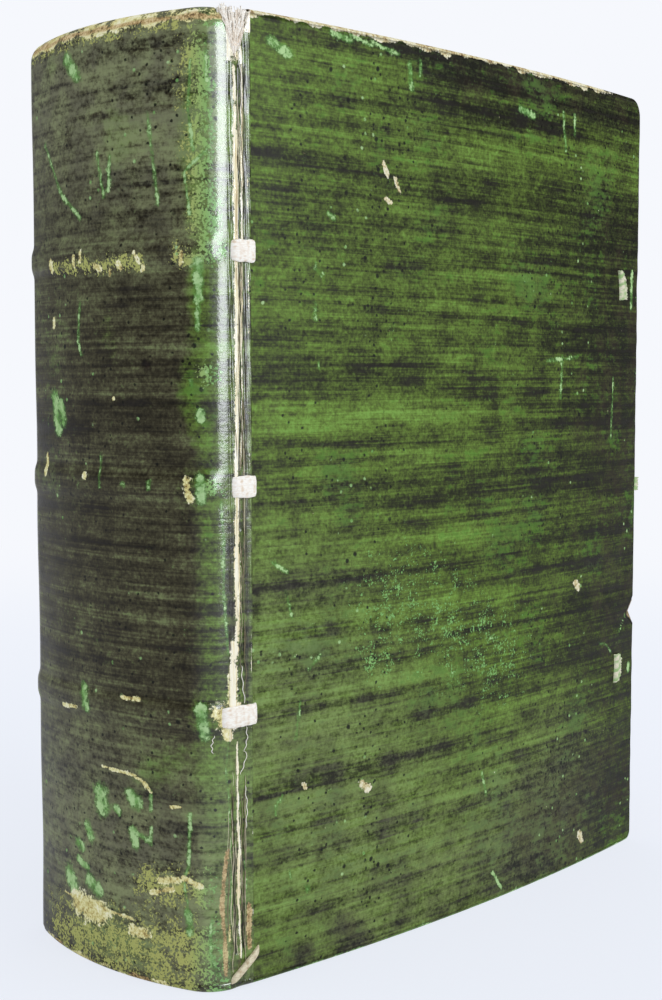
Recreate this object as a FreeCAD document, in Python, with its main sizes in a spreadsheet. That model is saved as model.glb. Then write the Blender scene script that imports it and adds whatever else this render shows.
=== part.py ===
import FreeCAD, Part
import math
import os
import re

import Sketcher
from FreeCAD import Vector

# An antique quarto book in a laced case of stained parchment, standing closed on its tail edges.
# X runs from the spine to the fore edge, the front cover faces -Y, and Z runs up from tail to head.
# The pieces are drawn with the joints at x = 0 and the middle of the book at y = 0. Every piece is
# then shifted along X, so that the origin lies under the middle of the whole book.
SIZES = {
    # Outside of the closed book
    "cover_height": 215.0,
    "cover_width": 158.4,
    "book_thickness": 66.5,
    "cover_bow": 4.9,
    "spine_bulge": 13.2,
    "shoulder_radius": 9.0,
    # Sheet goods
    "skin_thickness": 0.45,
    "board_thickness": 2.0,
    "paper_thickness": 0.25,
    "lining_thickness": 0.6,
    # Covers
    "joint_width": 4.1,
    "turn_in": 15.0,
    "square_margin": 3.0,
    "head_corner_radius": 5.0,
    "tail_corner_radius": 2.6,
    # Running gap at the joints, and the play of glued or laced pieces
    "hinge_clearance": 0.3,
    "seat_clearance": 0.05,
    "cut_clearance": 0.1,
    # Head and tail of the spine
    "head_cap_radius": 4.5,
    "tail_cap_radius": 1.2,
    "cap_turn_in": 12.0,
    "endband_radius": 1.0,
    # Text block
    "back_depth": 2.4,
    "leaf_gap": 0.3,
    "text_swell": 1.9,
    "fore_edge_hollow": 7.0,
    # Sewing supports and their slips
    "upper_support_height": 163.4,
    "middle_support_height": 112.3,
    "lower_support_height": 61.7,
    "support_rise": 0.8,
    "support_swell_width": 8.0,
    "slip_width": 4.8,
    "slip_thickness": 1.0,
    "slip_reach": 6.8,
    "slip_exposure": 1.6,
    "lower_exposure": 7.0,
    # Endband slips
    "endband_slip_width": 1.7,
    "endband_slip_rise": 5.2,
    "endband_slip_start": 1.6,
    # Fore-edge ties
    "upper_tie_height": 162.0,
    "lower_tie_height": 52.7,
    "tie_inset": 10.8,
    "tie_width": 9.0,
    "tie_thickness": 1.0,
    "tie_flap": 2.4,
    "stub_height": 105.5,
    "stub_width": 4.5,
    "stub_thickness": 0.8,
    "stub_length": 4.8,
    "stub_seat": 8.0,
    # Damage
    "chip_height": 68.0,
    "chip_width": 7.2,
    "chip_depth": 3.0,
    "tear_depth": 10.6,
    "tear_on_spine": 3.8,
    "tear_on_cover": 4.0,
}

document = FreeCAD.newDocument("AntiqueBook")
sheet = document.addObject("Spreadsheet::Sheet", "Sizes")
for row, (alias, size) in enumerate(SIZES.items(), start=1):
    sheet.set(f"A{row}", alias)
    sheet.set(f"B{row}", str(size))
    sheet.setAlias(f"B{row}", alias)
document.recompute()

# How far a cutting outline runs past the surface that it opens
OVERRUN = 1.0

HALF = "(book_thickness / 2)"
BOARD_FACE = "(skin_thickness + board_thickness)"
SHELL_DEPTH = "(2 * skin_thickness + board_thickness)"
COVER_STACK = "(2 * skin_thickness + board_thickness + seat_clearance + paper_thickness)"
TEXT_HALF = f"({HALF} - {COVER_STACK} - leaf_gap - paper_thickness - seat_clearance)"
TEXT_FRONT = "(cover_width - square_margin)"
ORIGIN_X = "((cover_width + stub_length - spine_bulge - support_rise) / 2)"

# The cover's outer face is an arc of this radius, bowed outward between the joint and the fore edge
BOW_RADIUS = "((cover_width ^ 2 / 4 + cover_bow ^ 2) / (2 * cover_bow))"
# The back of the book is a basket arch: two shoulder arcs and a crown arc that meets them smoothly
CROWN_RADIUS = (
    f"(({HALF} ^ 2 + spine_bulge ^ 2 - 2 * {HALF} * shoulder_radius)"
    " / (2 * (spine_bulge - shoulder_radius)))"
)
SUPPORTS = {
    "upper": "upper_support_height",
    "middle": "middle_support_height",
    "lower": "lower_support_height",
}
SIDES = {"front": 1, "back": -1}
SWAP = {"left": "right", "right": "left"}


def linked(text):
    """Turn the size names in a formula into links to the sheet's cells."""
    return re.sub(r"\b([a-z]+(?:_[a-z]+)+)\b", r"Sizes.\1", text)


def number(text):
    """Work a formula out with the sheet's present values."""
    return float(sheet.evalExpression(linked(str(text))))


def new_body(name, is_part=True):
    """Start a body; a sub-part's body is shifted so that the origin is under the book's middle."""
    body = document.addObject("PartDesign::Body", name)
    body.Label = name
    if is_part:
        body.setExpression("Placement.Base.x", linked(f"-{ORIGIN_X}"))
    return body


def turned(corners):
    """Mirror an outline about the X axis; its arcs then turn the other way."""
    return [(c[0], f"-({c[1]})", *((c[2], SWAP[c[3]]) if len(c) > 2 else ())) for c in corners]


def arc_between(start, end, radius, turn):
    """The arc below half a turn from start to end, with its centre left or right of the way."""
    way = end - start
    left = Vector(-way.y, way.x, 0) / way.Length
    reach = math.sqrt(max(radius ** 2 - way.Length ** 2 / 4, 0))
    centre = (start + end) / 2 + left * (reach if turn == "left" else -reach)
    first, last = (start, end) if turn == "left" else (end, start)
    angles = [math.atan2(p.y - centre.y, p.x - centre.x) for p in (first, last)]
    return Part.ArcOfCircle(Part.Circle(centre, Vector(0, 0, 1), radius), *angles)


def draw(body, name, plane, level, corners, closed=True):
    """Draw an outline on one of the body's own planes, lifted by level along the plane's normal.

    A corner is a pair of formulas, and where an arc arrives at it, the arc's radius and turn follow.
    """
    sketch = body.newObject("Sketcher::SketchObject", name)
    base = next(f for f in body.Origin.OriginFeatures if f.Role == plane)
    sketch.AttachmentSupport = (base, [""])
    sketch.MapMode = "FlatFace"
    sketch.setExpression("AttachmentOffset.Base.z", linked(str(level)))
    points = [Vector(number(c[0]), number(c[1]), 0) for c in corners]
    count = len(corners)
    ends = []
    for i in range(count if closed else count - 1):
        j = (i + 1) % count
        if len(corners[j]) > 2:
            radius, turn = corners[j][2:]
            edge = sketch.addGeometry(arc_between(points[i], points[j], number(radius), turn))
            made = sketch.addConstraint(Sketcher.Constraint("Radius", edge, number(radius)))
            sketch.setExpression(f"Constraints[{made}]", linked(radius))
            ends.append((edge, 1, 2) if turn == "left" else (edge, 2, 1))
        else:
            edge = sketch.addGeometry(Part.LineSegment(points[i], points[j]))
            ends.append((edge, 1, 2))
    for i, (edge, start, end) in enumerate(ends):
        pin(sketch, edge, start, corners[i])
        if closed:
            after, after_start, _ = ends[(i + 1) % count]
            sketch.addConstraint(Sketcher.Constraint("Coincident", edge, end, after, after_start))
        elif i + 1 < len(ends):
            after, after_start, _ = ends[i + 1]
            sketch.addConstraint(Sketcher.Constraint("Coincident", edge, end, after, after_start))
        else:
            pin(sketch, edge, end, corners[-1])
    return sketch


def pin(sketch, edge, end, corner):
    """Hold one end of an edge at its two formulas."""
    for kind, text in zip(("DistanceX", "DistanceY"), corner[:2]):
        made = sketch.addConstraint(Sketcher.Constraint(kind, edge, end, number(text)))
        sketch.setExpression(f"Constraints[{made}]", linked(str(text)))


def pad(body, sketch, length):
    """Raise a sketch by a length along its normal."""
    feature = body.newObject("PartDesign::Pad", f"{sketch.Name}_pad")
    feature.Profile = sketch
    feature.setExpression("Length", linked(str(length)))
    return feature


def pocket(body, sketch, length, backward=False):
    """Cut a sketch into the body, against its normal, or along it where backward is set."""
    before = body.Shape.Volume
    feature = body.newObject("PartDesign::Pocket", f"{sketch.Name}_cut")
    feature.Profile = sketch
    feature.Reversed = backward
    feature.setExpression("Length", linked(str(length)))
    document.recompute()
    if body.Shape.Volume >= before:
        raise RuntimeError(f"{feature.Name} cuts nothing")
    return feature


def rectangle(left, right, low, high):
    """Corners of an upright rectangle."""
    return [(left, low), (right, low), (right, high), (left, high)]


def bow_line(x, depth):
    """Y of the front cover's arc at x, at a depth below its outer face."""
    centre = f"({BOW_RADIUS} - cover_bow - {HALF})"
    return f"({centre} - sqrt(({BOW_RADIUS} - ({depth})) ^ 2 - (({x}) - cover_width / 2) ^ 2))"


def cover_band(side, left, right, outer, inner):
    """Plan of a layer of a cover, between two places along X and two depths below the outer face."""
    corners = [
        (left, bow_line(left, inner)),
        (left, bow_line(left, outer)),
        (right, bow_line(right, outer), f"({BOW_RADIUS} - ({outer}))", "left"),
        (right, bow_line(right, inner)),
    ]
    corners[0] = (*corners[0], f"({BOW_RADIUS} - ({inner}))", "right")
    return corners if side == "front" else turned(corners)


def back_arch(depth):
    """The basket arch round the book's back, at a depth below the covering, from front to back."""
    span = f"({HALF} - shoulder_radius)"
    across = f"({CROWN_RADIUS} - shoulder_radius)"
    shoulder = f"(shoulder_radius - ({depth}))"
    join_x = f"(-{shoulder} * ({CROWN_RADIUS} - spine_bulge) / {across})"
    join_y = f"({span} * (1 + {shoulder} / {across}))"
    crown = f"({CROWN_RADIUS} - ({depth}))"
    edge = f"({HALF} - ({depth}))"
    return [
        ("0", f"-{edge}"),
        (join_x, f"-{join_y}", shoulder, "right"),
        (join_x, join_y, crown, "right"),
        ("0", edge, shoulder, "right"),
    ]


def reverse(corners):
    """The same open outline walked the other way."""
    walked = [corners[-1][:2]]
    for here, before in zip(reversed(corners), list(reversed(corners))[1:]):
        walked.append((*before[:2], *((here[2], SWAP[here[3]]) if len(here) > 2 else ())))
    return walked


def cover_layer(body, side, name, left, right, outer, inner, low, high, shrink="0"):
    """A bowed layer of a cover, with the fore edge's corners rounded and shrunk with the layer."""
    pad(body, draw(body, name, "XY_Plane", low, cover_band(side, left, right, outer, inner)),
        f"({high}) - ({low})")
    document.recompute()
    for place, edge, radius, up in (
        ("head", high, f"(head_corner_radius - ({shrink}))", 1),
        ("tail", low, f"(tail_corner_radius - ({shrink}))", -1),
    ):
        along = f"(({right}) - {radius})"
        level = f"(({edge}) - ({up}) * {radius})"
        beyond = f"(({right}) + {OVERRUN})"
        past = f"(({edge}) + ({up * OVERRUN}))"
        corner = [
            (along, edge),
            (along, past),
            (beyond, past),
            (beyond, level),
            (right, level),
        ]
        corner[0] = (*corner[0], radius, "left" if up > 0 else "right")
        cut_through(body, side, f"{name}_{place}_corner", corner)


def cut_through(body, side, name, corners):
    """Cut an outline, drawn on the upright plane, right through one cover from its outside."""
    outside = f"({HALF} + cover_bow + slip_thickness + {OVERRUN})"
    level = outside if side == "front" else f"-{outside}"
    depth = f"({COVER_STACK} + cover_bow + slip_thickness + {3 * OVERRUN})"
    pocket(body, draw(body, name, "XZ_Plane", level, corners), depth, backward=side == "back")


def layer_piece(side, name, left, right, outer, inner, low, high):
    """A small piece that follows the cover's bow, such as a slip."""
    body = new_body(name)
    add_layer(body, side, name, left, right, outer, inner, low, high)
    return body


def add_layer(body, side, name, left, right, outer, inner, low, high):
    """Add one bowed block to a body."""
    plan = cover_band(side, left, right, outer, inner)
    pad(body, draw(body, f"{name}_plan", "XY_Plane", low, plan), f"({high}) - ({low})")


def cut_layer(body, side, name, left, right, outer, inner, low, high):
    """Cut one bowed block out of a body."""
    plan = cover_band(side, left, right, outer, inner)
    pocket(body, draw(body, f"{name}_plan", "XY_Plane", high, plan), f"({high}) - ({low})")


def subtract(body, tool, name):
    """Cut a tool body out of a body."""
    feature = body.newObject("PartDesign::Boolean", name)
    feature.setObjects([tool])
    feature.Type = "Cut"
    document.recompute()
    return feature


def span_about(middle, width, play="0"):
    """Lower and upper end of a width about its middle, widened by a play on each end."""
    return f"({middle} - {width} / 2 - {play})", f"({middle} + {width} / 2 + {play})"


def lacing_holes(body, side, kind):
    """Holes where the sewing-support slips and the fore-edge ties go through a cover."""
    for place, middle in SUPPORTS.items():
        low, high = span_about(middle, "slip_width", "cut_clearance")
        near = "(slip_reach - slip_thickness - cut_clearance)"
        far = "(slip_reach + cut_clearance)"
        cut_through(body, side, f"{side}_{kind}_{place}_hole", rectangle(near, far, low, high))
    for place in ("upper", "lower"):
        low, high = span_about(f"{place}_tie_height", "tie_width", "cut_clearance")
        near = "(cover_width - tie_inset - cut_clearance)"
        far = "(cover_width - tie_inset + tie_thickness + cut_clearance)"
        cut_through(body, side, f"{side}_{kind}_{place}_slit", rectangle(near, far, low, high))


def chip_outline(deeper="0"):
    """The three-cornered chip in the front cover's fore edge."""
    low, high = span_about("chip_height", "chip_width")
    point = f"(cover_width - chip_depth - ({deeper}))"
    beyond = f"(cover_width + {OVERRUN})"
    return [
        (point, "(chip_height + chip_width * 0.05)"),
        ("cover_width", low),
        (beyond, low),
        (beyond, high),
        ("cover_width", high),
    ]


def make_board(side):
    """The thin pasteboard that stiffens a cover."""
    name = f"{side}_board"
    body = new_body(name)
    inset = "(skin_thickness + seat_clearance)"
    cover_layer(
        body, side, f"{name}_sheet",
        "(joint_width + hinge_clearance)", f"(cover_width - {inset})",
        inset, f"({BOARD_FACE} - seat_clearance)",
        inset, f"(cover_height - {inset})", inset,
    )
    lacing_holes(body, side, "board")
    if side == "front":
        cut_through(body, side, "front_board_chip", chip_outline("seat_clearance"))
        low, high = span_about("stub_height", "stub_width", "cut_clearance")
        cut_layer(
            body, side, "front_board_stub_seat",
            "(cover_width - stub_seat - cut_clearance)", f"(cover_width + {OVERRUN})",
            f"({BOARD_FACE} - stub_thickness - 2 * seat_clearance)", f"({BOARD_FACE} + {OVERRUN})",
            low, high,
        )
    return body


def make_covering(side):
    """The skin over one cover: outer face, three folded edges and the turn-ins on the inside."""
    name = f"{side}_covering"
    body = new_body(name)
    cover_layer(body, side, f"{name}_whole", "hinge_clearance", "cover_width", "0", SHELL_DEPTH,
                "0", "cover_height")
    room = new_body(f"{name}_board_room", is_part=False)
    cover_layer(room, side, f"{name}_room", f"(hinge_clearance - {OVERRUN})",
                "(cover_width - skin_thickness)", "skin_thickness", BOARD_FACE,
                "skin_thickness", "(cover_height - skin_thickness)", "skin_thickness")
    subtract(body, room, f"{name}_hollow")
    cut_layer(body, side, f"{name}_window", f"(hinge_clearance - {OVERRUN})",
              "(cover_width - turn_in)", f"({BOARD_FACE} - seat_clearance)", f"({SHELL_DEPTH} + {OVERRUN})",
              "turn_in", "(cover_height - turn_in)")
    lacing_holes(body, side, "covering")
    if side == "front":
        damage_front_covering(body)
    return body


def damage_front_covering(body):
    """The chip and the stub's slit in the fore edge, and the tear at the head of the joint."""
    cut_through(body, "front", "front_covering_chip", chip_outline())
    low, high = span_about("stub_height", "stub_width", "cut_clearance")
    cut_layer(
        body, "front", "front_covering_stub_slit",
        "(cover_width - skin_thickness - cut_clearance)", f"(cover_width + {OVERRUN})",
        f"({BOARD_FACE} - stub_thickness - 2 * seat_clearance)", BOARD_FACE,
        low, high,
    )
    tear = [
        (f"(hinge_clearance - {OVERRUN})", "(cover_height - tear_depth)"),
        ("hinge_clearance", "(cover_height - tear_depth)"),
        ("(hinge_clearance + tear_on_cover)", "cover_height"),
        ("(hinge_clearance + tear_on_cover)", f"(cover_height + {OVERRUN})"),
        (f"(hinge_clearance - {OVERRUN})", f"(cover_height + {OVERRUN})"),
    ]
    cut_through(body, "front", "front_covering_tear", tear)


def make_pastedown(side):
    """The leaf pasted inside a cover: it steps down from the turn-ins onto the board."""
    name = f"{side}_pastedown"
    body = new_body(name)
    near = "(2 * hinge_clearance)"
    step = "(turn_in + seat_clearance)"
    top = f"({COVER_STACK} - paper_thickness)"
    floor = f"({BOARD_FACE} + seat_clearance)"
    add_layer(body, side, f"{name}_rim", near, "(cover_width - square_margin)", top, COVER_STACK,
              "square_margin", "(cover_height - square_margin)")
    add_layer(body, side, f"{name}_panel", near, f"(cover_width - {step})", floor, COVER_STACK,
              step, f"(cover_height - {step})")
    document.recompute()
    inner = f"({step} + paper_thickness)"
    cut_layer(body, side, f"{name}_dip", f"({near} - {OVERRUN})", f"(cover_width - {inner})",
              f"({floor} + paper_thickness)", f"({COVER_STACK} + {OVERRUN})",
              inner, f"(cover_height - {inner})")
    return body


def make_cover_slip(side, place, middle):
    """A support slip on a cover: over the joint, then down through the skin and the board."""
    name = f"{side}_slip_{place}"
    low, high = span_about(middle, "slip_width")
    body = layer_piece(side, name, "hinge_clearance", "slip_reach",
                       "(-slip_thickness)", "(-seat_clearance)", low, high)
    add_layer(body, side, f"{name}_tail", "(slip_reach - slip_thickness)", "slip_reach",
              "(-slip_thickness)", BOARD_FACE, low, high)
    return body


def make_endband_slip(side, end):
    """An endband slip laid slantwise across the cover's joint, away from head or tail."""
    name = f"{side}_endband_slip_{end}"
    top = "(endband_slip_start + endband_slip_rise + endband_slip_width)"
    low, high = ("0", top) if end == "tail" else (f"(cover_height - {top})", "cover_height")
    body = layer_piece(side, name, "hinge_clearance", "slip_reach",
                       "(-slip_thickness * 0.8)", "(-seat_clearance)", low, high)
    document.recompute()
    before = f"(hinge_clearance - {OVERRUN})"
    after = f"(slip_reach + {OVERRUN})"
    slope = "(endband_slip_rise / (slip_reach - hinge_clearance))"
    lines = []
    for base in ("endband_slip_start", "(endband_slip_start + endband_slip_width)"):
        extra = f"{OVERRUN} * {slope}"
        lines.append([f"({base} - {extra})", f"({base} + endband_slip_rise + {extra})"])
    limits = (f"(-{OVERRUN})", f"({top} + {OVERRUN})")
    for mark, (start, finish), limit in zip(("under", "over"), lines, limits):
        corners = [(before, limit), (after, limit), (after, finish), (before, start)]
        if end == "head":
            corners = [(x, f"(cover_height - {z})") for x, z in corners]
        cut_through(body, side, f"{name}_{mark}", corners)
    return body


def make_tie(side, place):
    """The torn end of a fore-edge tie: through its slit, with a short flap left outside."""
    name = f"{side}_tie_{place}"
    low, high = span_about(f"{place}_tie_height", "tie_width")
    near = "(cover_width - tie_inset)"
    far = "(cover_width - tie_inset + tie_thickness)"
    body = layer_piece(side, name, near, far, "(-tie_thickness / 2)", BOARD_FACE, low, high)
    add_layer(body, side, f"{name}_flap", near, f"({far} + tie_flap)",
              "(-tie_thickness / 2)", "(-seat_clearance)", low, high)
    return body


def make_stub():
    """The torn strip that still sticks out of the front cover's fore edge."""
    low, high = span_about("stub_height", "stub_width")
    return layer_piece("front", "front_tie_stub", "(cover_width - stub_seat)",
                       "(cover_width + stub_length)",
                       f"({BOARD_FACE} - stub_thickness - seat_clearance)",
                       f"({BOARD_FACE} - seat_clearance)", low, high)


def make_text_block():
    """The sewn leaves: rounded back with shoulders, swelling sides and a hollow fore edge."""
    body = new_body("text_block")
    side_radius = f"(({TEXT_FRONT} ^ 2 / 4 + text_swell ^ 2) / (2 * text_swell))"
    hollow_radius = f"(({TEXT_HALF} ^ 2 + fore_edge_hollow ^ 2) / (2 * fore_edge_hollow))"
    corners = [
        ("0", f"-{TEXT_HALF}"),
        (TEXT_FRONT, f"-{TEXT_HALF}", side_radius, "left"),
        (TEXT_FRONT, TEXT_HALF, hollow_radius, "right"),
        ("0", TEXT_HALF, side_radius, "left"),
        *reverse(back_arch("back_depth")),
    ]
    pad(body, draw(body, "text_plan", "XY_Plane", "square_margin", corners),
        "cover_height - 2 * square_margin")
    return body


def make_flyleaf(side):
    """The free leaf that lies on the text block under a cover."""
    body = new_body(f"{side}_flyleaf")
    near = "(2 * hinge_clearance)"
    centre = f"({TEXT_FRONT} / 2)"
    radius = f"(({TEXT_FRONT} ^ 2 / 4 + text_swell ^ 2) / (2 * text_swell))"

    def line(x, lift):
        middle = f"(-{TEXT_HALF} - text_swell + {radius})"
        return f"({middle} - sqrt(({radius} + {lift}) ^ 2 - ({x} - {centre}) ^ 2))"

    low = "seat_clearance"
    high = "(seat_clearance + paper_thickness)"
    corners = [
        (near, line(near, low), f"({radius} + {low})", "right"),
        (near, line(near, high)),
        (TEXT_FRONT, line(TEXT_FRONT, high), f"({radius} + {high})", "left"),
        (TEXT_FRONT, line(TEXT_FRONT, low)),
    ]
    plan = corners if side == "front" else turned(corners)
    pad(body, draw(body, f"{side}_flyleaf_plan", "XY_Plane", "square_margin", plan),
        "cover_height - 2 * square_margin")
    return body


def make_lining(place, low, high):
    """A paper lining pasted on the back of the text block between two supports."""
    body = new_body(f"spine_lining_{place}")
    inner = "(back_depth - seat_clearance)"
    outer = f"({inner} - lining_thickness)"
    corners = [*back_arch(outer), *reverse(back_arch(inner))]
    pad(body, draw(body, f"lining_{place}_plan", "XY_Plane", low, corners), f"({high}) - ({low})")
    return body


def turn_round_back(body, name, section):
    """Carry an upright section round the book's back in three turns: shoulder, crown and shoulder.

    The section's corners are depths below the covering and heights.
    """
    centre = f"({HALF} - shoulder_radius)"
    rise = f"({CROWN_RADIUS} - spine_bulge)"
    angle = f"atan({rise} / {centre})"
    turns = {
        "front": ("YZ_Plane", HALF, 1, f"-{centre}", angle),
        "crown": ("XZ_Plane", "spine_bulge", 1, rise, f"2 * (90 deg - {angle})"),
        "back": ("YZ_Plane", HALF, -1, centre, angle),
    }
    for place, (plane, face, sign, axis, swing) in turns.items():
        corners = [(f"({sign} * ({c[0]} - {face}))", *c[1:]) for c in section]
        if sign < 0:
            corners = [(*c[:2], *((c[2], SWAP[c[3]]) if len(c) > 2 else ())) for c in corners]
        sketch = draw(body, f"{name}_{place}_section", plane, "0", corners)
        foot = Vector(number(axis), 0, 0)
        line = sketch.addGeometry(Part.LineSegment(foot, foot + Vector(0, 1, 0)), True)
        pin(sketch, line, 1, (axis, "0"))
        pin(sketch, line, 2, (axis, "1"))
        feature = body.newObject("PartDesign::Revolution", f"{name}_{place}_turn")
        feature.Profile = sketch
        feature.ReferenceAxis = (sketch, ["Axis0"])
        feature.setExpression("Angle", linked(swing))
        feature.Midplane = place == "crown"
        feature.Reversed = place == "front"
        document.recompute()


# The covering lies over a support's edges in slopes: their run, and how far the inside lags behind
SWELL_FOOT = "(support_swell_width / 2)"
SWELL_CREST = "(slip_width / 2 + skin_thickness / 2)"
SWELL_RUN = f"(({SWELL_FOOT} - {SWELL_CREST}) / support_rise)"
SWELL_LAG = f"(skin_thickness * (sqrt(1 + {SWELL_RUN} ^ 2) - {SWELL_RUN}))"
ENDBAND_SIDES = 8
CAP_STEPS = 3


def make_support(place, middle):
    """A sewing support: round the back of the text block, with its front and back ends laid bare."""
    name = f"sewing_support_{place}"
    body = new_body(name)
    low, high = span_about(middle, "slip_width")
    top = "(skin_thickness - support_rise + seat_clearance)"
    bottom = "(back_depth - seat_clearance)"
    turn_round_back(body, name, [(bottom, low), (top, low), (top, high), (bottom, high)])
    for side, sign in SIDES.items():
        level = f"({sign} * ({HALF} + slip_thickness))"
        end = draw(body, f"{name}_{side}_end", "XZ_Plane", level,
                   rectangle("-slip_exposure", "0", low, high))
        feature = pad(body, end, "slip_thickness + back_depth / 2")
        feature.Reversed = side == "front"
        document.recompute()
    return body


def make_endband(end, depth, level):
    """The cord of an endband, laid round the back on the text block's edge."""
    name = f"{end}_endband"
    body = new_body(name)
    section = []
    for side in range(ENDBAND_SIDES):
        angle = f"{(0.5 - side) * 360 / ENDBAND_SIDES} deg"
        section.append((f"({depth} + endband_radius * cos({angle}))",
                        f"({level} + endband_radius * sin({angle}))"))
    turn_round_back(body, name, section)
    return body


def covering_section():
    """Upright section of the spine's skin: turned in at head and tail, lifted over the supports."""
    double = "(2 * skin_thickness)"
    head = "(cover_height - head_cap_radius)"
    head_turn = "(cover_height - cap_turn_in)"
    outer = [("tail_cap_radius", "0"), ("0", "tail_cap_radius")]
    inner = [
        ("skin_thickness", "cap_turn_in"),
        (double, "cap_turn_in"),
        (double, "tail_cap_radius"),
        ("tail_cap_radius", double),
    ]
    for middle in reversed(SUPPORTS.values()):
        outer += [
            ("0", f"({middle} - {SWELL_FOOT})"),
            ("-support_rise", f"({middle} - {SWELL_CREST})"),
            ("-support_rise", f"({middle} + {SWELL_CREST})"),
            ("0", f"({middle} + {SWELL_FOOT})"),
        ]
        inner = [
            ("skin_thickness", f"({middle} + {SWELL_FOOT} - {SWELL_LAG})"),
            ("(skin_thickness - support_rise)", f"({middle} + {SWELL_CREST} - {SWELL_LAG})"),
            ("(skin_thickness - support_rise)", f"({middle} - {SWELL_CREST} + {SWELL_LAG})"),
            ("skin_thickness", f"({middle} - {SWELL_FOOT} + {SWELL_LAG})"),
            *inner,
        ]
    outer += [("0", head), ("head_cap_radius", "cover_height", "head_cap_radius", "right")]
    for step in range(CAP_STEPS + 1):
        angle = f"{90 - step * 90 / CAP_STEPS} deg"
        outer.append((f"(head_cap_radius - (head_cap_radius - {double}) * cos({angle}))",
                      f"({head} + (head_cap_radius - {double}) * sin({angle}))"))
    return outer + [(double, head_turn), ("skin_thickness", head_turn)] + inner


def make_spine_covering():
    """The skin round the back, cut where the slips come out and torn at the front joint."""
    body = new_body("spine_covering")
    turn_round_back(body, "spine_covering", covering_section())
    for side in SIDES:
        for place, middle in SUPPORTS.items():
            low, high = span_about(middle, "slip_width", "cut_clearance")
            torn = side == "front" and place == "lower"
            bare = "lower_exposure" if torn else "slip_exposure"
            notch = rectangle(f"(-{bare} - cut_clearance)", f"{OVERRUN}", low, high)
            cut_through(body, side, f"spine_covering_{side}_{place}_notch", notch)
    tear = [
        (f"{OVERRUN}", "(cover_height - tear_depth)"),
        (f"{OVERRUN}", f"(cover_height + {OVERRUN})"),
        ("-tear_on_spine", f"(cover_height + {OVERRUN})"),
        ("-tear_on_spine", "cover_height"),
        ("0", "(cover_height - tear_depth)"),
    ]
    cut_through(body, "front", "spine_covering_tear", tear)
    return body


def make_book():
    """Every sub-part of the book, in the order in which it is put together."""
    parts = [make_text_block()]
    parts += [make_flyleaf(side) for side in SIDES]
    stops = ["(cap_turn_in - square_margin)", *reversed(SUPPORTS.values()),
             "(cover_height - cap_turn_in + square_margin)"]
    half = "(slip_width / 2 + cut_clearance)"
    panels = ("tail", "lower", "upper", "head")
    for place, below, above in zip(panels, stops, stops[1:]):
        low = "square_margin" if place == "tail" else f"({below} + {half})"
        high = "(cover_height - square_margin)" if place == "head" else f"({above} - {half})"
        parts.append(make_lining(place, low, high))
    parts += [make_support(place, middle) for place, middle in SUPPORTS.items()]
    rest = "(square_margin - seat_clearance - endband_radius)"
    parts.append(make_endband("head", "(head_cap_radius + seat_clearance)", f"(cover_height - {rest})"))
    parts.append(make_endband("tail", "(back_depth + endband_radius)", rest))
    parts.append(make_spine_covering())
    for side in SIDES:
        parts += [make_board(side), make_covering(side), make_pastedown(side)]
        parts += [make_cover_slip(side, place, middle) for place, middle in SUPPORTS.items()]
        parts += [make_tie(side, place) for place in ("upper", "lower")]
        parts.append(make_endband_slip(side, "tail"))
    parts.append(make_endband_slip("back", "head"))
    parts.append(make_stub())
    return parts


def check_document(parts):
    """Stop unless every feature is sound and every sub-part is one valid solid."""
    for thing in document.Objects:
        if "Invalid" in thing.State or "Error" in thing.State:
            raise RuntimeError(f"{thing.Name}: {thing.State}")
    for part in parts:
        shape = part.Shape
        if shape.isNull() or not shape.isValid() or len(shape.Solids) != 1:
            raise RuntimeError(f"{part.Label} is not one valid solid")


book = make_book()
document.recompute()
check_document(book)
os.makedirs("parts", exist_ok=True)
for part in book:
    part.Shape.exportStep(f"parts/{part.Label}.step")
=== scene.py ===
import math

import bmesh
import bpy
import numpy as np
from mathutils import Matrix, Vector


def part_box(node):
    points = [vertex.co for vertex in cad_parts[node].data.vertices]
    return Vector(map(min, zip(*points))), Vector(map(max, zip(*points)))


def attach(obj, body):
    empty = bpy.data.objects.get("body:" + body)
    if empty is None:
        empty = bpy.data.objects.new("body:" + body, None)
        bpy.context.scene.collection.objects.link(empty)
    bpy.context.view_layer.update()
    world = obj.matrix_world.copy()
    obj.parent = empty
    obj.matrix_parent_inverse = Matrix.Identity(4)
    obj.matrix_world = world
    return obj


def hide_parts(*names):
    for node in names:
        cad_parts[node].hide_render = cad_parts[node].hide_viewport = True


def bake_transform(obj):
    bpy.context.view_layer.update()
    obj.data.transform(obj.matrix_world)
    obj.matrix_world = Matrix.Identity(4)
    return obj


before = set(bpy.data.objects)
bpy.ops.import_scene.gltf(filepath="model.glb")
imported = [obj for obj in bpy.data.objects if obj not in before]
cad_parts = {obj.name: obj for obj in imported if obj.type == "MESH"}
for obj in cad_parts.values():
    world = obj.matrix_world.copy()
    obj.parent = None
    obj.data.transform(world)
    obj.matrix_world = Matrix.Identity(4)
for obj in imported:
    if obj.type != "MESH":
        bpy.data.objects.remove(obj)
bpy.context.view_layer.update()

# An old quarto in a laced case of green-stained parchment, standing on its tail edges.
# Shapes are worked out in book millimetres: x = 0 is the line of the joints, y = 0 the middle of
# the text block, z = 0 the tail. A point on the skin is named by its distance t across the joint:
# t > 0 is x on a cover, t < 0 is the way round the back of the book, counted from the joint.
MM = 0.001
ROW_SHIFT = -74.6

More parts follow.
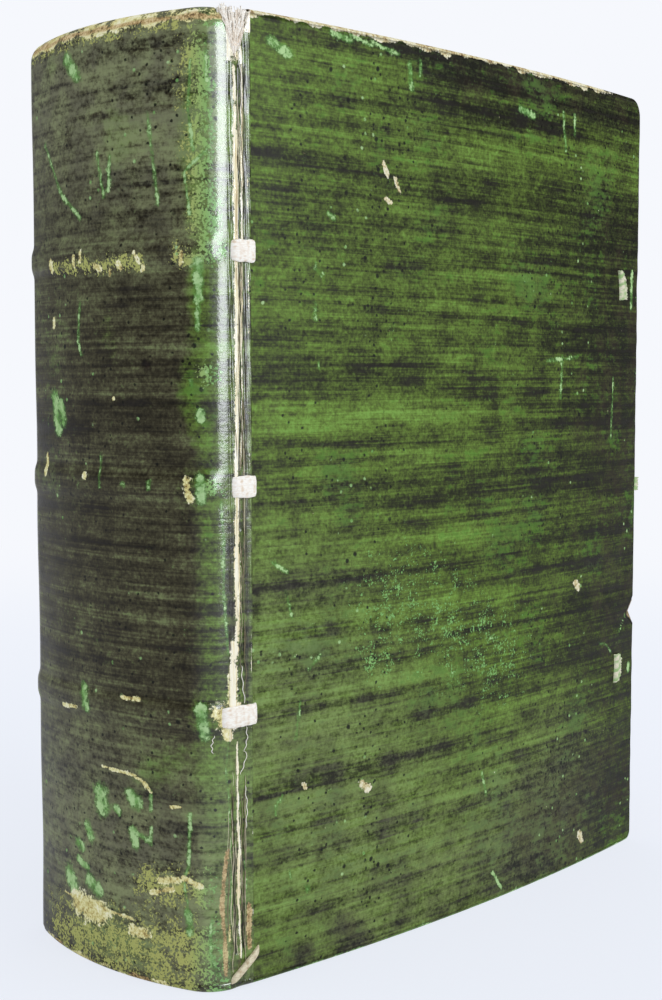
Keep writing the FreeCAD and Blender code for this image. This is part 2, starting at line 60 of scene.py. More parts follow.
COVER_HEIGHT = 215.0
COVER_WIDTH = 158.4
HALF_THICKNESS = 33.25
COVER_BOW = 4.9
COVER_STACK = 2.9
SPINE_BULGE = 13.2
SHOULDER_RADIUS = 9.0
SKIN = 0.45
BOARD_START = 4.3
SPINE_START = 2.0
HEAD_CAP = 4.5
HEAD_LIP = 203.0
TAIL_LIP = 12.0
SUPPORT_HEIGHTS = {"upper": 163.4, "middle": 112.3, "lower": 61.7}
SUPPORT_RISE = 0.6
TIE_HEIGHTS = {"upper": 162.0, "lower": 52.7}
TEAR_FOOT = 204.4
TEAR_ON_SPINE = 3.8
TEAR_ON_COVER = 4.0
EDGE_RADIUS = 0.9
INNER_ARRIS = 0.35
SQUARE_LIP = 4.2
GROOVE_AT = 2.4
CREASE_AT = 3.85
SLIP_WIDTH = 4.8
CHIP_HEIGHT = 67.6
CHIP_DEPTH = 4.3
NOTCH_HEIGHT = 161.0
STUB_START = 154.5
STUB_REACH = 8.5
STUB_HEIGHT = 105.5

BOW_RADIUS = (COVER_WIDTH ** 2 / 4 + COVER_BOW ** 2) / (2 * COVER_BOW)
BOW_CENTRE = BOW_RADIUS - COVER_BOW - HALF_THICKNESS
CROWN_RADIUS = ((HALF_THICKNESS ** 2 + SPINE_BULGE ** 2 - 2 * HALF_THICKNESS * SHOULDER_RADIUS)
                / (2 * (SPINE_BULGE - SHOULDER_RADIUS)))
CROWN_CENTRE = CROWN_RADIUS - SPINE_BULGE
SHOULDER_CENTRE = HALF_THICKNESS - SHOULDER_RADIUS
SHOULDER_TURN = math.atan2(CROWN_CENTRE, SHOULDER_CENTRE)
SHOULDER_LENGTH = SHOULDER_RADIUS * SHOULDER_TURN
CROWN_TURN = math.pi / 2 - SHOULDER_TURN
BACK_LENGTH = 2 * (SHOULDER_LENGTH + CROWN_RADIUS * CROWN_TURN)

SIDES = {"front": 1.0, "back": -1.0}


# ---------------------------------------------------------------- shapes

def rise(value, low, high):
    """0 below low, 1 above high, and 3t^2 - 2t^3 between them."""
    t = np.clip((np.asarray(value, float) - low) / (high - low), 0, 1)
    return t * t * (3 - 2 * t)


RIPPLE_WAVES = 7


def ripple(a, b, seed, length):
    """Sum of plane waves in (a, b) with seeded directions, each about length long, scaled to -1..1."""
    draw = np.random.default_rng(seed)
    total = np.zeros(np.broadcast(a, b).shape)
    for _ in range(RIPPLE_WAVES):
        way = draw.uniform(0, math.tau)
        wave = length * draw.uniform(0.5, 1.7)
        total += np.sin((a * math.cos(way) + b * math.sin(way)) * math.tau / wave
                        + draw.uniform(0, math.tau))
    return total / math.sqrt(RIPPLE_WAVES) / 1.4


def resample(line, count):
    """The same polyline as count points, evenly spaced along its length."""
    line = np.asarray(line, float)
    run = np.concatenate([[0], np.cumsum(np.linalg.norm(np.diff(line, axis=0), axis=1))])
    at = np.linspace(0, run[-1], count)
    return np.stack([np.interp(at, run, line[:, k]) for k in range(line.shape[1])], -1)


def smooth(path, times):
    """Rounds a path off: each inner point goes to the quarter, half, quarter mean, that many times."""
    for _ in range(times):
        path[1:-1] = (path[:-2] + 2 * path[1:-1] + path[2:]) / 4
    return path


def rounded(v, power):
    """sqrt(1 - |2v - 1|^power): 1 along the middle and 0 at both ends."""
    return np.sqrt(np.clip(1 - np.abs(2 * v - 1) ** power, 0, 1))


def squared(wave, power):
    """sign(wave) * |wave|^power: a sine stays as it is at 1, and turns squarer below."""
    return np.sign(wave) * np.abs(wave) ** power


def weld(mesh, gap):
    """Makes one point of those that lie within the gap, in millimetres."""
    shape = bmesh.new()
    shape.from_mesh(mesh)
    bmesh.ops.remove_doubles(shape, verts=shape.verts, dist=gap * MM)
    shape.to_mesh(mesh)
    shape.free()


def cover_point(x, z, depth, side):
    """A cover is an arc in plan: y = centre - sqrt((radius - depth)^2 - (x - width / 2)^2)."""
    x, z, depth = np.broadcast_arrays(*(np.asarray(v, float) for v in (x, z, depth)))
    y = BOW_CENTRE - np.sqrt((BOW_RADIUS - depth) ** 2 - (x - COVER_WIDTH / 2) ** 2)
    return np.stack([x, y * side, z], -1)


def back_point(s, z, depth):
    """The back in plan: shoulder arc, crown arc, shoulder arc, by the way s along the outer skin."""
    s, z, depth = np.broadcast_arrays(*(np.asarray(v, float) for v in (s, z, depth)))
    near = np.minimum(s, BACK_LENGTH - s)
    side = np.where(s < BACK_LENGTH / 2, -1.0, 1.0)
    turn = np.minimum(near, SHOULDER_LENGTH) / SHOULDER_RADIUS
    on_crown = near > SHOULDER_LENGTH
    crown = CROWN_TURN - (near - SHOULDER_LENGTH) / CROWN_RADIUS
    x = np.where(on_crown, CROWN_CENTRE - (CROWN_RADIUS - depth) * np.cos(crown),
                 -(SHOULDER_RADIUS - depth) * np.sin(turn))
    y = np.where(on_crown, (CROWN_RADIUS - depth) * np.sin(crown),
                 SHOULDER_CENTRE + (SHOULDER_RADIUS - depth) * np.cos(turn))
    return np.stack([x, side * y, z], -1)


def skin_point(t, z, depth, side):
    """Round the back for t < 0 and over the cover for t >= 0, at that depth under the skin."""
    t, z, depth = np.broadcast_arrays(*(np.asarray(v, float) for v in (t, z, depth)))
    way = np.maximum(-t, 0)
    round_back = back_point(way if side > 0 else BACK_LENGTH - way, z, depth)
    over_cover = cover_point(np.maximum(t, 0), z, depth, side)
    return np.where((t < 0)[..., None], round_back, over_cover)


def lay_grid(name, points, keep=None, ring=False, flip=False, paint=None):
    """Mesh of grids of points (..., rows, columns, 3): each cell is a quad, ring closes the columns.

    keep drops the cells where it is False; paint gives named values for the points. The ends of a
    ring meet in a point."""
    points = np.asarray(points, float)
    rows, columns = points.shape[-3], points.shape[-2]
    count = int(np.prod(points.shape[:-3], dtype=int))
    index = np.arange(count * rows * columns).reshape(count, rows, columns)
    across = np.concatenate([index, index[..., :1]], -1) if ring else index
    quads = np.stack([across[:, :-1, :-1], across[:, 1:, :-1], across[:, 1:, 1:], across[:, :-1, 1:]], -1)
    if flip:
        quads = quads[..., ::-1]
    if keep is not None:
        quads = quads[np.asarray(keep).reshape(quads.shape[:-1])]
    quads = quads.reshape(-1, 4)
    used, quads = np.unique(quads, return_inverse=True)
    place = points.reshape(-1, 3)[used].copy()
    place[:, 0] += ROW_SHIFT
    mesh = bpy.data.meshes.new(name)
    mesh.from_pydata((place * MM).tolist(), [], quads.reshape(-1, 4).tolist())
    for label, values in (paint or {}).items():
        values = np.broadcast_to(values, points.shape[:-1]).reshape(-1)[used]
        mesh.attributes.new(label, "FLOAT", "POINT").data.foreach_set("value", values.astype(np.float32))
    if ring:
        weld(mesh, 0.002)
    mesh.shade_smooth()
    piece = bpy.data.objects.new(name, mesh)
    bpy.context.scene.collection.objects.link(piece)
    return piece


def join_pieces(name, pieces):
    """One object of several, kept at the origin."""
    first, *others = pieces
    with bpy.context.temp_override(active_object=first, selected_editable_objects=pieces):
        bpy.ops.object.join()
    first.name = first.data.name = name
    return first


def thicken(piece, thickness):
    """Gives a laid skin its thickness, inwards from the side that shows."""
    wall = piece.modifiers.new("thickness", "SOLIDIFY")
    wall.thickness, wall.offset = thickness * MM, -1
    return piece


def full_turn(count):
    """Angles evenly spaced round a circle, the last one short of the first."""
    return np.arange(count) * math.tau / count


def dirt_of(base, share, a, b, seed, length):
    """The soiling painted on a piece: base + share * ripple, kept within 0 and 1."""
    return {"dirt_and_shade": np.clip(base + share * ripple(a, b, seed, length), 0, 1)}


def tubes(name, spines, radius, tone):
    """Fibres: a five-sided profile x * cos - y * sin is carried along each path, rounded at both ends.

    tone is the painted soiling, one value for each fibre."""
    steps = spines.shape[-2]
    turn = full_turn(5)
    ring = np.stack([np.cos(turn), -np.sin(turn), 0 * turn], -1)
    size = (radius[:, None] * rounded(np.linspace(0, 1, steps), 8))[..., None, None]
    paint = {"dirt_and_shade": np.broadcast_to(tone[:, None, None], (len(spines), steps, 5))}
    return lay_grid(name, spines[..., None, :] + ring * size, ring=True, flip=True, paint=paint)


# ---------------------------------------------------------------- wear, painted shade and painted sheen, placed one by one
# Each mark is a brushed line in millimetres: its half width, and then t (or s) and z of its points.

COVER_MARKS = {
    "flaked": [
        (1.1, 9.7, 209.1, 14.6, 206.8), (0.7, 27.4, 213.1, 32.9, 212.3), (0.4, 32.9, 213.6, 39.8, 211.9),
        (0.4, 39.8, 212.8, 48.3, 211.3), (0.7, 52.3, 209.6, 53, 204.1), (0.5, 56.1, 210.6, 55.8, 207.3),
        (0.8, 94.8, 204.6, 101, 203.3), (0.5, 115.1, 206.1, 116.3, 196.3), (0.5, 120.6, 206, 120.7, 200.8),
        (0.6, 26.2, 173.1, 28, 171.9), (0.4, 108.7, 140.5, 123.6, 141.7), (0.5, 116, 141.6, 115.2, 130.6),
        (0.35, 143.3, 136.5, 142, 119.1), (0.5, 10.1, 94.9, 14, 92.6), (0.35, 23.7, 72.6, 20.4, 69.5),
        (0.35, 13.7, 88.3, 15.4, 82), (0.35, 18, 62.9, 16.5, 54.1), (0.4, 85.6, 7.7, 89.5, 2.6),
        (0.35, 83.9, 69.2, 94.7, 70), (0.4, 81, 35.1, 82.8, 29), (0.7, 19.8, 19.2, 19.8, 18.2),
        (0.4, 10.7, 37.6, 11, 39.8, 13, 41.7), (0.4, 14.7, 23.3, 15, 22.3), (0.8, 155.2, 52.6, 155.2, 50.9),
        (0.2, 153.4, 67.2, 151, 65.6, 149.2, 62.9), (0.3, 136.7, 61.4, 141.3, 60.2, 144.4, 57.7),
        (0.35, 22.6, 161.5, 22.3, 160.2), (0.35, 22.3, 152.8, 22.3, 149), (0.35, 24.7, 159.8, 24.1, 158.9),
        (0.4, 23.2, 139.6, 23.2, 138.2), (0.7, 154, 166.2, 153.7, 155.9),
    ],
    "scattered": [(13, 47.9, 83, 88.2, 64.5), (6, 39.5, 74.3, 42.8, 69.1)],
    "greened": [
        (2, 18.7, 102.6, 24.3, 102.3), (2.7, 15.1, 161.6, 26.8, 163.5), (2.2, 17.3, 140.9, 20.8, 141.8),
        (3.2, 17.9, 113.1, 26.8, 115), (1.9, 50.3, 208.9, 57.3, 205.1), (2.1, 115.1, 204.5, 120.3, 196.8),
    ],
    "bared": [
        (0.6, 43.7, 185.8, 45.1, 183.2), (0.5, 47.7, 182.7, 49.1, 179.6), (0.5, 44.1, 177.8, 46.4, 176.8),
        (1.1, 123.5, 80, 125.2, 78.5), (1.1, 127.9, 8.4, 128.6, 6.2), (1, 37, 40.3, 38.9, 38.8),
        (0.6, 18.9, 43, 19.5, 42.2),
    ],
    "stain_and_shade": [
        # Small stains near the tail, then three broad marks that darken the cover towards its fore edge, tail and
        # head: painted shade, where the light falls off.
        (2.7, 100.3, 7, 105.5, 4.1), (3.3, 31.5, 7.2, 37, 0.9), (1.8, 18.5, 3.2, 19.7, 4.1),
        (44, 156, 145, 158, 70), (20, 150, 20, 110, 14), (12, 70, 214, 150, 214),
    ],
    # Pale veils over the lower left and the tail of the cover: painted reflection of the floor.
    "fade_and_sheen": [(34, 6, 60, 50, 14), (24, 60, 10, 110, 20)],
}
SPINE_MARKS = {
    "flaked": [
        (1.5, 47.5, 207.5, 43.4, 203.4), (0.5, 58.7, 189.9, 50.1, 177.6, 42.5, 171.9),
        (0.35, 20.9, 192.9, 18.2, 173.2), (0.4, 36.1, 185.9, 33.9, 175.7), (0.4, 31.8, 184.8, 32.6, 177.3),
        (0.4, 43, 152.9, 44, 144.4, 42.8, 141.2), (1.7, 55.2, 131.6, 53.2, 124.4), (1.5, 51.8, 129.6, 51, 126.2),
        (1, 8.4, 160.7, 8.5, 153.1), (0.5, 8.5, 153.1, 8.8, 146.3), (0.9, 8.1, 128.5, 8.1, 127.2),
        (0.5, 10.2, 135.3, 10, 134.3), (1, 8.2, 114.5, 8, 109.7), (0.35, 35.9, 118.7, 36, 111.5),
        (0.5, 28.8, 112.5, 28.2, 112.3), (0.6, 21, 113.2, 21, 111.9), (1.2, 43.3, 65.1, 41.8, 60.5),
        (0.8, 7.8, 64.1, 7.6, 57.5), (2.3, 37.6, 41.3, 36.6, 38.2), (1.5, 27.4, 42.4, 25.6, 40.8),
        (0.8, 32.2, 38.6, 31.2, 37.8), (1.3, 42.4, 32.4, 41.2, 30.3), (1.1, 46.7, 27.6, 45, 26.8),
        (0.8, 46.8, 23.8, 42.6, 22.4), (1.9, 50.6, 19.2, 48.8, 16.3), (1.7, 41.8, 19.7, 38.8, 18),
        (1, 26.9, 34.4, 26, 31.1), (0.6, 25.4, 33.8, 21.9, 32.5), (0.9, 11.9, 18.1, 11.4, 13.6),
        (0.4, 11.2, 40.1, 11.6, 28.6, 12.9, 25, 11.9, 19), (0.4, 6.6, 15.5, 6.6, 9.2, 4.8, 3.4),
        (0.4, 21.5, 43.9, 21.6, 39.6), (0.4, 21.6, 35.7, 21.6, 31.8), (0.3, 6.4, 184.3, 11.5, 179.8, 10.2, 170.7),
        (0.35, 9.9, 203.1, 10.5, 192.7, 9.4, 184.3), (0.3, 6.5, 207.2, 6.3, 198.9),
    ],
    "bared": [
        (0.9, 55.2, 162.8, 55.3, 160.9), (0.5, 44.5, 163.5, 44.6, 161.3), (0.45, 41.9, 164.3, 42, 162),
        (0.9, 36.9, 160.9, 35.5, 160.4), (0.8, 29.4, 160.8, 28.8, 160.1), (0.7, 32.2, 159.8, 32.2, 158.7),
        (0.4, 24.6, 163.4, 23.2, 161), (0.6, 22.2, 160.3, 22.3, 159.2), (0.6, 11.8, 162.9, 12.6, 160.2),
        (0.5, 55, 149.6, 55, 147.8), (0.4, 31.5, 131.6, 31.5, 131.2), (0.8, 59.6, 117.8, 59.8, 113.8),
        (0.6, 41.5, 114.2, 41.1, 113.6), (0.5, 52, 59.5, 45.9, 60), (0.5, 29.5, 64.5, 24.4, 64.6),
        (0.35, 36.8, 47.5, 26.7, 47.1, 22.9, 45.6, 21.5, 43.9), (0.6, 23.5, 45.7, 22.6, 44.9),
        (3.2, 47, 12.9, 38.2, 13), (0.35, 53.3, 14.2, 27.1, 13.8), (1.5, 27.2, 11.2, 23.3, 11.1),
        (0.7, 21.5, 20.9, 16, 22.7), (0.8, 19.2, 24.2, 14.4, 25), (0.8, 13.1, 25.6, 8.9, 24.3),
        (0.4, 16.4, 41.2, 13.5, 41.6), (1, 11.2, 114, 10.6, 109.9),
    ],
    "scattered": [
        (10, 51.2, -2.1, 9.1, 1.9), (8, 54.3, 6, 9, 9), (4.5, 22, 22.6, 9, 23.4), (2.6, 6.7, 136.8, 5.6, 136.8),
        (2.6, 6.8, 112.7, 5.5, 112.7), (1.8, 53.5, 161.3, 23.2, 161.2), (3, 12, 162, 4, 163), (4, 9, 205, 7, 168),
    ],
    "greened": [
        (3.4, 9, 207.2, 9.2, 171.7), (2.1, 9, 160.7, 9.2, 146.3), (3.4, 9.8, 137.7, 9.6, 124.8),
        (3, 12.3, 114.8, 11.9, 109.6), (2.2, 33.1, 147.7, 32.5, 142.2), (4.5, 21.7, 46.6, 11.1, 52.4),
        (2.6, 9, 65.9, 8.4, 57), (6, 52, 204, 30, 190), (7, 45, 8, 14, 9),
    ],
    "stain_and_shade": [(0.9, 21.8, 139.3, 21.3, 138.2)],
    # Paler, greyer head and tail of the back: fading, and painted sheen in part.
    "fade_and_sheen": [(30, 56, 206, 22, 200), (24, 50, 32, 16, 18)],
}
JOINT_MARKS = {
    "bared": [
        (0.42, -0.2, 202.7, 0, 195.2, 0.1, 188.9), (0.7, 0.1, 188.9, 0.4, 165.6),
        (0.6, 0.4, 160.9, 0.3, 124.7, 0.2, 114.9), (0.8, 0.3, 109.5, 0.1, 100.7, 0.2, 87.5, 0.1, 78.7),
        (1.35, -0.8, 77.5, -0.9, 71, -1.1, 67.7, -1.2, 64.4), (0.2, 1.9, 207, 2.1, 195.4, 2, 165.7),
        (0.1, 1.9, 160.3, 1.7, 146.4, 1.9, 131.2, 1.4, 116), (0.26, 0, 55.9, 0, 38.4, 0.5, 31.3),
        (0.45, 0.5, 31.3, 0.1, 24, 0, 20.5), (0.26, 0, 20.5, 0.3, 16.8, 0.7, 11, 0.8, 6.8),
        (0.35, -2.4, 15.1, -2.2, 11.2), (2.4, -4.4, 62.8, -0.6, 62.6), (2.2, -3.6, 61, -1, 60.4),
        (1.3, -2.8, 59.4, -2.4, 57.4),
    ],
    "flaked": [
        (0.34, -3.8, 109.2, -3.2, 100.9, -3.3, 90, -2.9, 83.4, -2.2, 75.6),
        (0.14, -2.2, 57.2, -3, 50.1, -2.3, 43.3, -1.8, 32), (0.3, -1.9, 32, -1.9, 24.1, -1.9, 16.6),
        (0.22, -6.3, 17.8, -6.5, 12.1, -6.3, 5.8, -4.6, 2.7), (0.16, 1.9, 31.2, 2.4, 25.4, 2.5, 17),
        (1.2, -8.5, 64, -7.8, 58.4),
    ],
    "greened": [(0.8, -1.4, 55.5, -1.5, 45.4), (1, 1.9, 31.2, 2.4, 22)],
    "tanned": [(0.5, -2.6, 32.1, -3.6, 25.5, -4.1, 19.9, -3.4, 11.9, -3.2, 3.9), (0.55, 3.1, 18.4, 3.3, 8.7)],
    "cracked": [
        (0.16, 1.15, 203, 1.25, 165.7), (0.14, 1.2, 160.3, 1.1, 116), (0.1, 1, 109.4, 1.2, 102.8),
        (0.2, -1.9, 79.5, -1.7, 76.5), (0.24, -1, 31, -0.9, 20, -0.4, 8), (0.22, 1.2, 30, 1.5, 18, 1.9, 9),
        (0.16, -1.3, 44, -1.2, 33),
    ],
    # Of these two lines the second, at t = 2.9, darkens the groove on the cover: painted shade in the groove. The
    # first darkens the skin beside the crack.
    "stain_and_shade": [(0.9, -1.4, 104, -1.6, 90, -1.2, 80), (0.35, 2.9, 203, 2.9, 66)],
}
MARK_KINDS = ("flaked", "bared", "tanned", "cracked", "scattered", "greened", "stain_and_shade", "fade_and_sheen")


def mark_fields(wear, a, b):
    """Strength of each kind of mark at (a, b), wear and painted light alike: 1 on a mark's line, falling to 0
    about two widths from it.

    The distance to a line is that to the nearest point of its segments. Thin flaked marks are fainter."""
    painted = {}
    for kind in MARK_KINDS:
        field = np.zeros(np.broadcast(a, b).shape)
        for width, *line in wear.get(kind, ()):
            weight = min(1.0, 0.6 + 0.5 * width) if kind == "flaked" else 1.0
            line = np.reshape(line, (-1, 2)).astype(float)
            for start, end in zip(line[:-1], line[1:]):
                along = end - start
                part = np.clip(((a - start[0]) * along[0] + (b - start[1]) * along[1]) / (along @ along), 0, 1)
                gap = np.hypot(a - start[0] - part * along[0], b - start[1] - part * along[1])
                field = np.maximum(field, weight * (1 - rise(gap, 0.1 * width, 1.9 * width + 0.2)))
        painted[kind] = field
    return painted


def add_mark(marked, kind, field):
    """Paints one more field of a kind of mark, and the stronger one holds at each point."""
    marked[kind] = np.maximum(marked[kind], field)


# ---------------------------------------------------------------- the skins

def swell(z):
    """The lift of the skin over each sewing support: rise * exp(-(dz / 2.9)^4)."""
    return SUPPORT_RISE * sum(np.exp(-((z - height) / 2.9) ** 4) for height in SUPPORT_HEIGHTS.values())


FOLD_STEPS = 26
LIP_STEPS = 5
OUTER_STEP = 0.55


def back_section():
    """Upright section of the skin on the back as (depth, z): lip, tail fold, face, head cap, lip."""
    v = np.linspace(0, 1, 24)[:, None]
    bend = [np.array(p) for p in ((0.95, 1.3), (1.0, -0.35), (0.1, -0.35), (0.0, 1.4))]
    tail = sum(weight * p for weight, p in zip(
        ((1 - v) ** 3, 3 * v * (1 - v) ** 2, 3 * v ** 2 * (1 - v), v ** 3), bend))
    face = np.arange(1.4, COVER_HEIGHT - HEAD_CAP, OUTER_STEP)
    a = np.linspace(0, math.pi / 2, 14)
    low = COVER_HEIGHT - HEAD_CAP
    cap = np.stack([HEAD_CAP * (1 - np.cos(a)), low + HEAD_CAP * np.sin(a)], -1)
    under = HEAD_CAP - 2 * SKIN
    inner = np.stack([HEAD_CAP - under * np.cos(a), low + under * np.sin(a)], -1)[::-1]
    tip = [(HEAD_CAP + 0.35, COVER_HEIGHT - 0.2), (HEAD_CAP + 0.4, COVER_HEIGHT - 0.6)]
    return (np.linspace((2 * SKIN, TAIL_LIP), (2 * SKIN, 1.4), LIP_STEPS),
            resample(tail, FOLD_STEPS),
            np.stack([np.zeros_like(face), face], -1),
            resample(np.concatenate([cap, tip, inner]), FOLD_STEPS),
            np.linspace((2 * SKIN, low - 0.2), (2 * SKIN, HEAD_LIP), LIP_STEPS))


def edge_profile():
    """Round a cover's edge as (outward, depth): outer arris, wall, inner arris, lip on the inside."""
    a = np.linspace(0, math.pi / 2, 6)
    outer = np.stack([EDGE_RADIUS * np.sin(a), EDGE_RADIUS * (1 - np.cos(a))], -1)
    b = np.linspace(0, math.pi / 2, 4)
    inner = np.stack([EDGE_RADIUS - INNER_ARRIS * (1 - np.cos(b)),
                      COVER_STACK - INNER_ARRIS * (1 - np.sin(b))], -1)
    lip = [(EDGE_RADIUS - SQUARE_LIP * part, COVER_STACK) for part in (0.4, 0.7, 1.0)]
    return np.concatenate([outer, inner, lip])


def cover_section(rows):
    """The section of a cover at the board's edge, with as many points as the back's section."""
    profile = edge_profile()
    fold = resample(profile[:-3], FOLD_STEPS)
    lip = np.linspace(profile[-3], profile[-1], LIP_STEPS)
    head = COVER_HEIGHT - EDGE_RADIUS
    tail_fold = np.stack([fold[:, 1], EDGE_RADIUS - fold[:, 0]], -1)[::-1]
    tail_lip = np.stack([lip[:, 1], EDGE_RADIUS - lip[:, 0]], -1)[::-1]
    head_fold = np.stack([fold[:, 1], head + fold[:, 0]], -1)
    head_lip = np.stack([lip[:, 1], head + lip[:, 0]], -1)
    face = np.linspace(EDGE_RADIUS, head, rows)
    return tail_lip, tail_fold, np.stack([np.zeros_like(face), face], -1), head_fold, head_lip


BACK_PARTS = back_section()
BACK_SECTION = np.concatenate(BACK_PARTS)
COVER_SECTION = np.concatenate(cover_section(len(BACK_PARTS[2])))
FACE_ROWS = np.zeros(len(BACK_SECTION), bool)
FACE_ROWS[LIP_STEPS + FOLD_STEPS:LIP_STEPS + FOLD_STEPS + len(BACK_PARTS[2])] = True


def torn(t, z):
    """True inside the V that is torn out of the head of the front joint, with ragged sides."""
    up = (z - TEAR_FOOT) / (COVER_HEIGHT - TEAR_FOOT) + 0.09 * ripple(t, z, 3, 1.6)
    return (up > 0) & (t > -TEAR_ON_SPINE * up) & (t < 0.3 + TEAR_ON_COVER * up)


def make_back_skin():
    """The skin round the back: the back's plan carried along the upright section, lifted at supports."""
    near = np.arange(SPINE_START, 12, 0.34)
    s = np.concatenate([near, np.linspace(12, BACK_LENGTH - 12, 88)[:-1], BACK_LENGTH - near[::-1]])[:, None]
    depth, z = BACK_SECTION[:, 0], BACK_SECTION[:, 1]
    lift = np.where(FACE_ROWS, swell(z) * rise(s, 2, 7) * rise(BACK_LENGTH - s, 2, 7), 0)
    dents = 0.10 * ripple(s, z, 11, 34) * rise(s, 2, 9) * rise(BACK_LENGTH - s, 2, 9) * FACE_ROWS
    points = back_point(s, z, depth - lift + dents)
    marked = mark_fields(SPINE_MARKS, s, z)
    for kind, field in mark_fields(JOINT_MARKS, -s, z).items():
        add_mark(marked, kind, field)
    from_head = COVER_HEIGHT - z
    uneven = 0.8 * ripple(s, z, 5, 7)
    patchy = ripple(s, z * 2, 19, 9)
    cap = rise(4.6 + uneven - from_head, 0, 1.2) * np.ones_like(s)
    foot = 0.8 * rise(1.5 + 0.7 * uneven - z, 0, 0.8) * rise(s, 8, 20)
    add_mark(marked, "bared", cap * (0.75 + 0.2 * patchy))
    add_mark(marked, "bared", foot * rise(patchy, -0.4, 0.3))
    add_mark(marked, "tanned", 0.9 * cap * rise(np.abs(from_head - 2.6 - 0.5 * patchy), 1.3, 0.2))
    add_mark(marked, "tanned", foot * rise(-patchy, -0.2, 0.4))
    add_mark(marked, "scattered", 0.85 * rise(6.4 + uneven - from_head, 0, 1.5))
    add_mark(marked, "flaked", 0.8 * cap * rise(patchy + 0.3 * uneven, 0.5, 1.2))
    seen = np.maximum(1 - rise(s, 61, 65), 0.45 * rise(np.sin(s * 0.9) + ripple(s, z, 9, 20), 0.2, 1.2))
    for kind in ("flaked", "greened"):
        marked[kind] = marked[kind] * seen
    marked["cover_side"] = np.maximum(1 - rise(s, 4, 13), 1 - rise(BACK_LENGTH - s, 4, 13)) * np.ones_like(z)
    middle_s = (s[:-1] + s[1:]) / 2
    middle_z = (z[:-1] + z[1:]) / 2
    keep = ~torn(-middle_s, middle_z)
    return lay_grid("back_skin", points, keep=keep, flip=True, paint=marked)


def make_joint_skin(name, side, cracked):
    """The skin over one joint: rows go over from the back's section to the cover's as t goes across."""
    t = np.linspace(-SPINE_START, BOARD_START, 43)[:, None]
    share = rise(t, -SPINE_START, BOARD_START)[..., None]
    section = BACK_SECTION * (1 - share) + COVER_SECTION * share
    depth, z = section[..., 0], section[..., 1]
    groove = 0.22 * np.exp(-((t - GROOVE_AT) / 1.3) ** 4)
    relief = groove - 0.07 * np.exp(-((t - CREASE_AT) / 0.2) ** 2)
    marked = {kind: np.zeros(z.shape) for kind in MARK_KINDS}
    if cracked:
        relief = relief + 0.05 * ripple(t * 3, z * 0.15, 23, 1.4)
        wander = 0.12 * ripple(z, 0 * z, 21, 9)
        marked = mark_fields(JOINT_MARKS, t - wander, z)
        relief = relief + 0.35 * marked["cracked"] - 0.14 * marked["bared"]
        ragged = (1 - rise(t, 0.4, 3.4)) * rise(z, 200, 206) + rise(z, 208.5, 211)
        add_mark(marked, "bared", ragged)
        # Pale flecks along the crease: skin bared by wear, and in part a painted highlight along the crease.
        crease = np.exp(-((t - CREASE_AT - 0.004 * (100 - z)) / 0.16) ** 2)
        add_mark(marked, "bared", 0.62 * crease * rise(ripple(z, 0 * z, 25, 26), -0.6, 0.4))
    marked["cover_side"] = np.ones(z.shape)
    # An even pale veil over the whole joint skin.
    marked["fade_and_sheen"] = 0.36 * np.ones(z.shape)
    points = skin_point(t, z, depth + np.where(FACE_ROWS, relief, 0), side)
    keep = None
    if cracked:
        t = t * np.ones_like(z)
        keep = ~torn((t[:-1, :-1] + t[1:, 1:]) / 2, (z[:-1, :-1] + z[1:, 1:]) / 2)
    return thicken(lay_grid(name, points, keep=keep, flip=side < 0, paint=marked), 0.3)


def cover_outline(side):
    """The outline of a cover in (x, z): tail edge, fore edge and head edge, each up to mid-corner."""
    tail_r, head_r = 2.6, 5.0
    low, high, right = 0.0, COVER_HEIGHT, COVER_WIDTH

    def corner(centre, radius, start, end):
        """An arc: centre + radius * (cos, sin)."""
        a = np.linspace(start, end, 12)
        return np.stack([centre[0] + radius * np.cos(a), centre[1] + radius * np.sin(a)], -1)

    tail_c, head_c = (right - tail_r, low + tail_r), (right - head_r, high - head_r)
    quarter = math.pi / 4
    tail = np.concatenate([[(BOARD_START, low)], corner(tail_c, tail_r, -2 * quarter, -quarter)])
    fore = np.concatenate([corner(tail_c, tail_r, -quarter, 0), corner(head_c, head_r, 0, quarter)])
    head = np.concatenate([corner(head_c, head_r, quarter, 2 * quarter), [(BOARD_START, high)]])
    across, up = int(COVER_WIDTH / 0.72), int(COVER_HEIGHT / 0.72)
    tail, fore, head = resample(tail, across), resample(fore, up), resample(head, across)
    if side > 0:
        x, z = fore[:, 0], fore[:, 1]
        below, above = 2.9, 5.0
        reach = np.where(z > CHIP_HEIGHT, above, below)
        chip = CHIP_DEPTH * np.clip(1 - np.abs(z - CHIP_HEIGHT) / reach, 0, 1) ** 1.15
        notch = 0.45 * np.clip(1 - np.abs(z - NOTCH_HEIGHT) / 5.5, 0, 1)
        fore[:, 0] = x - chip - notch - 0.12 * (1 + ripple(z, 0 * z, 31, 9)) * rise(z, 6, 12)
    return tail, fore, head


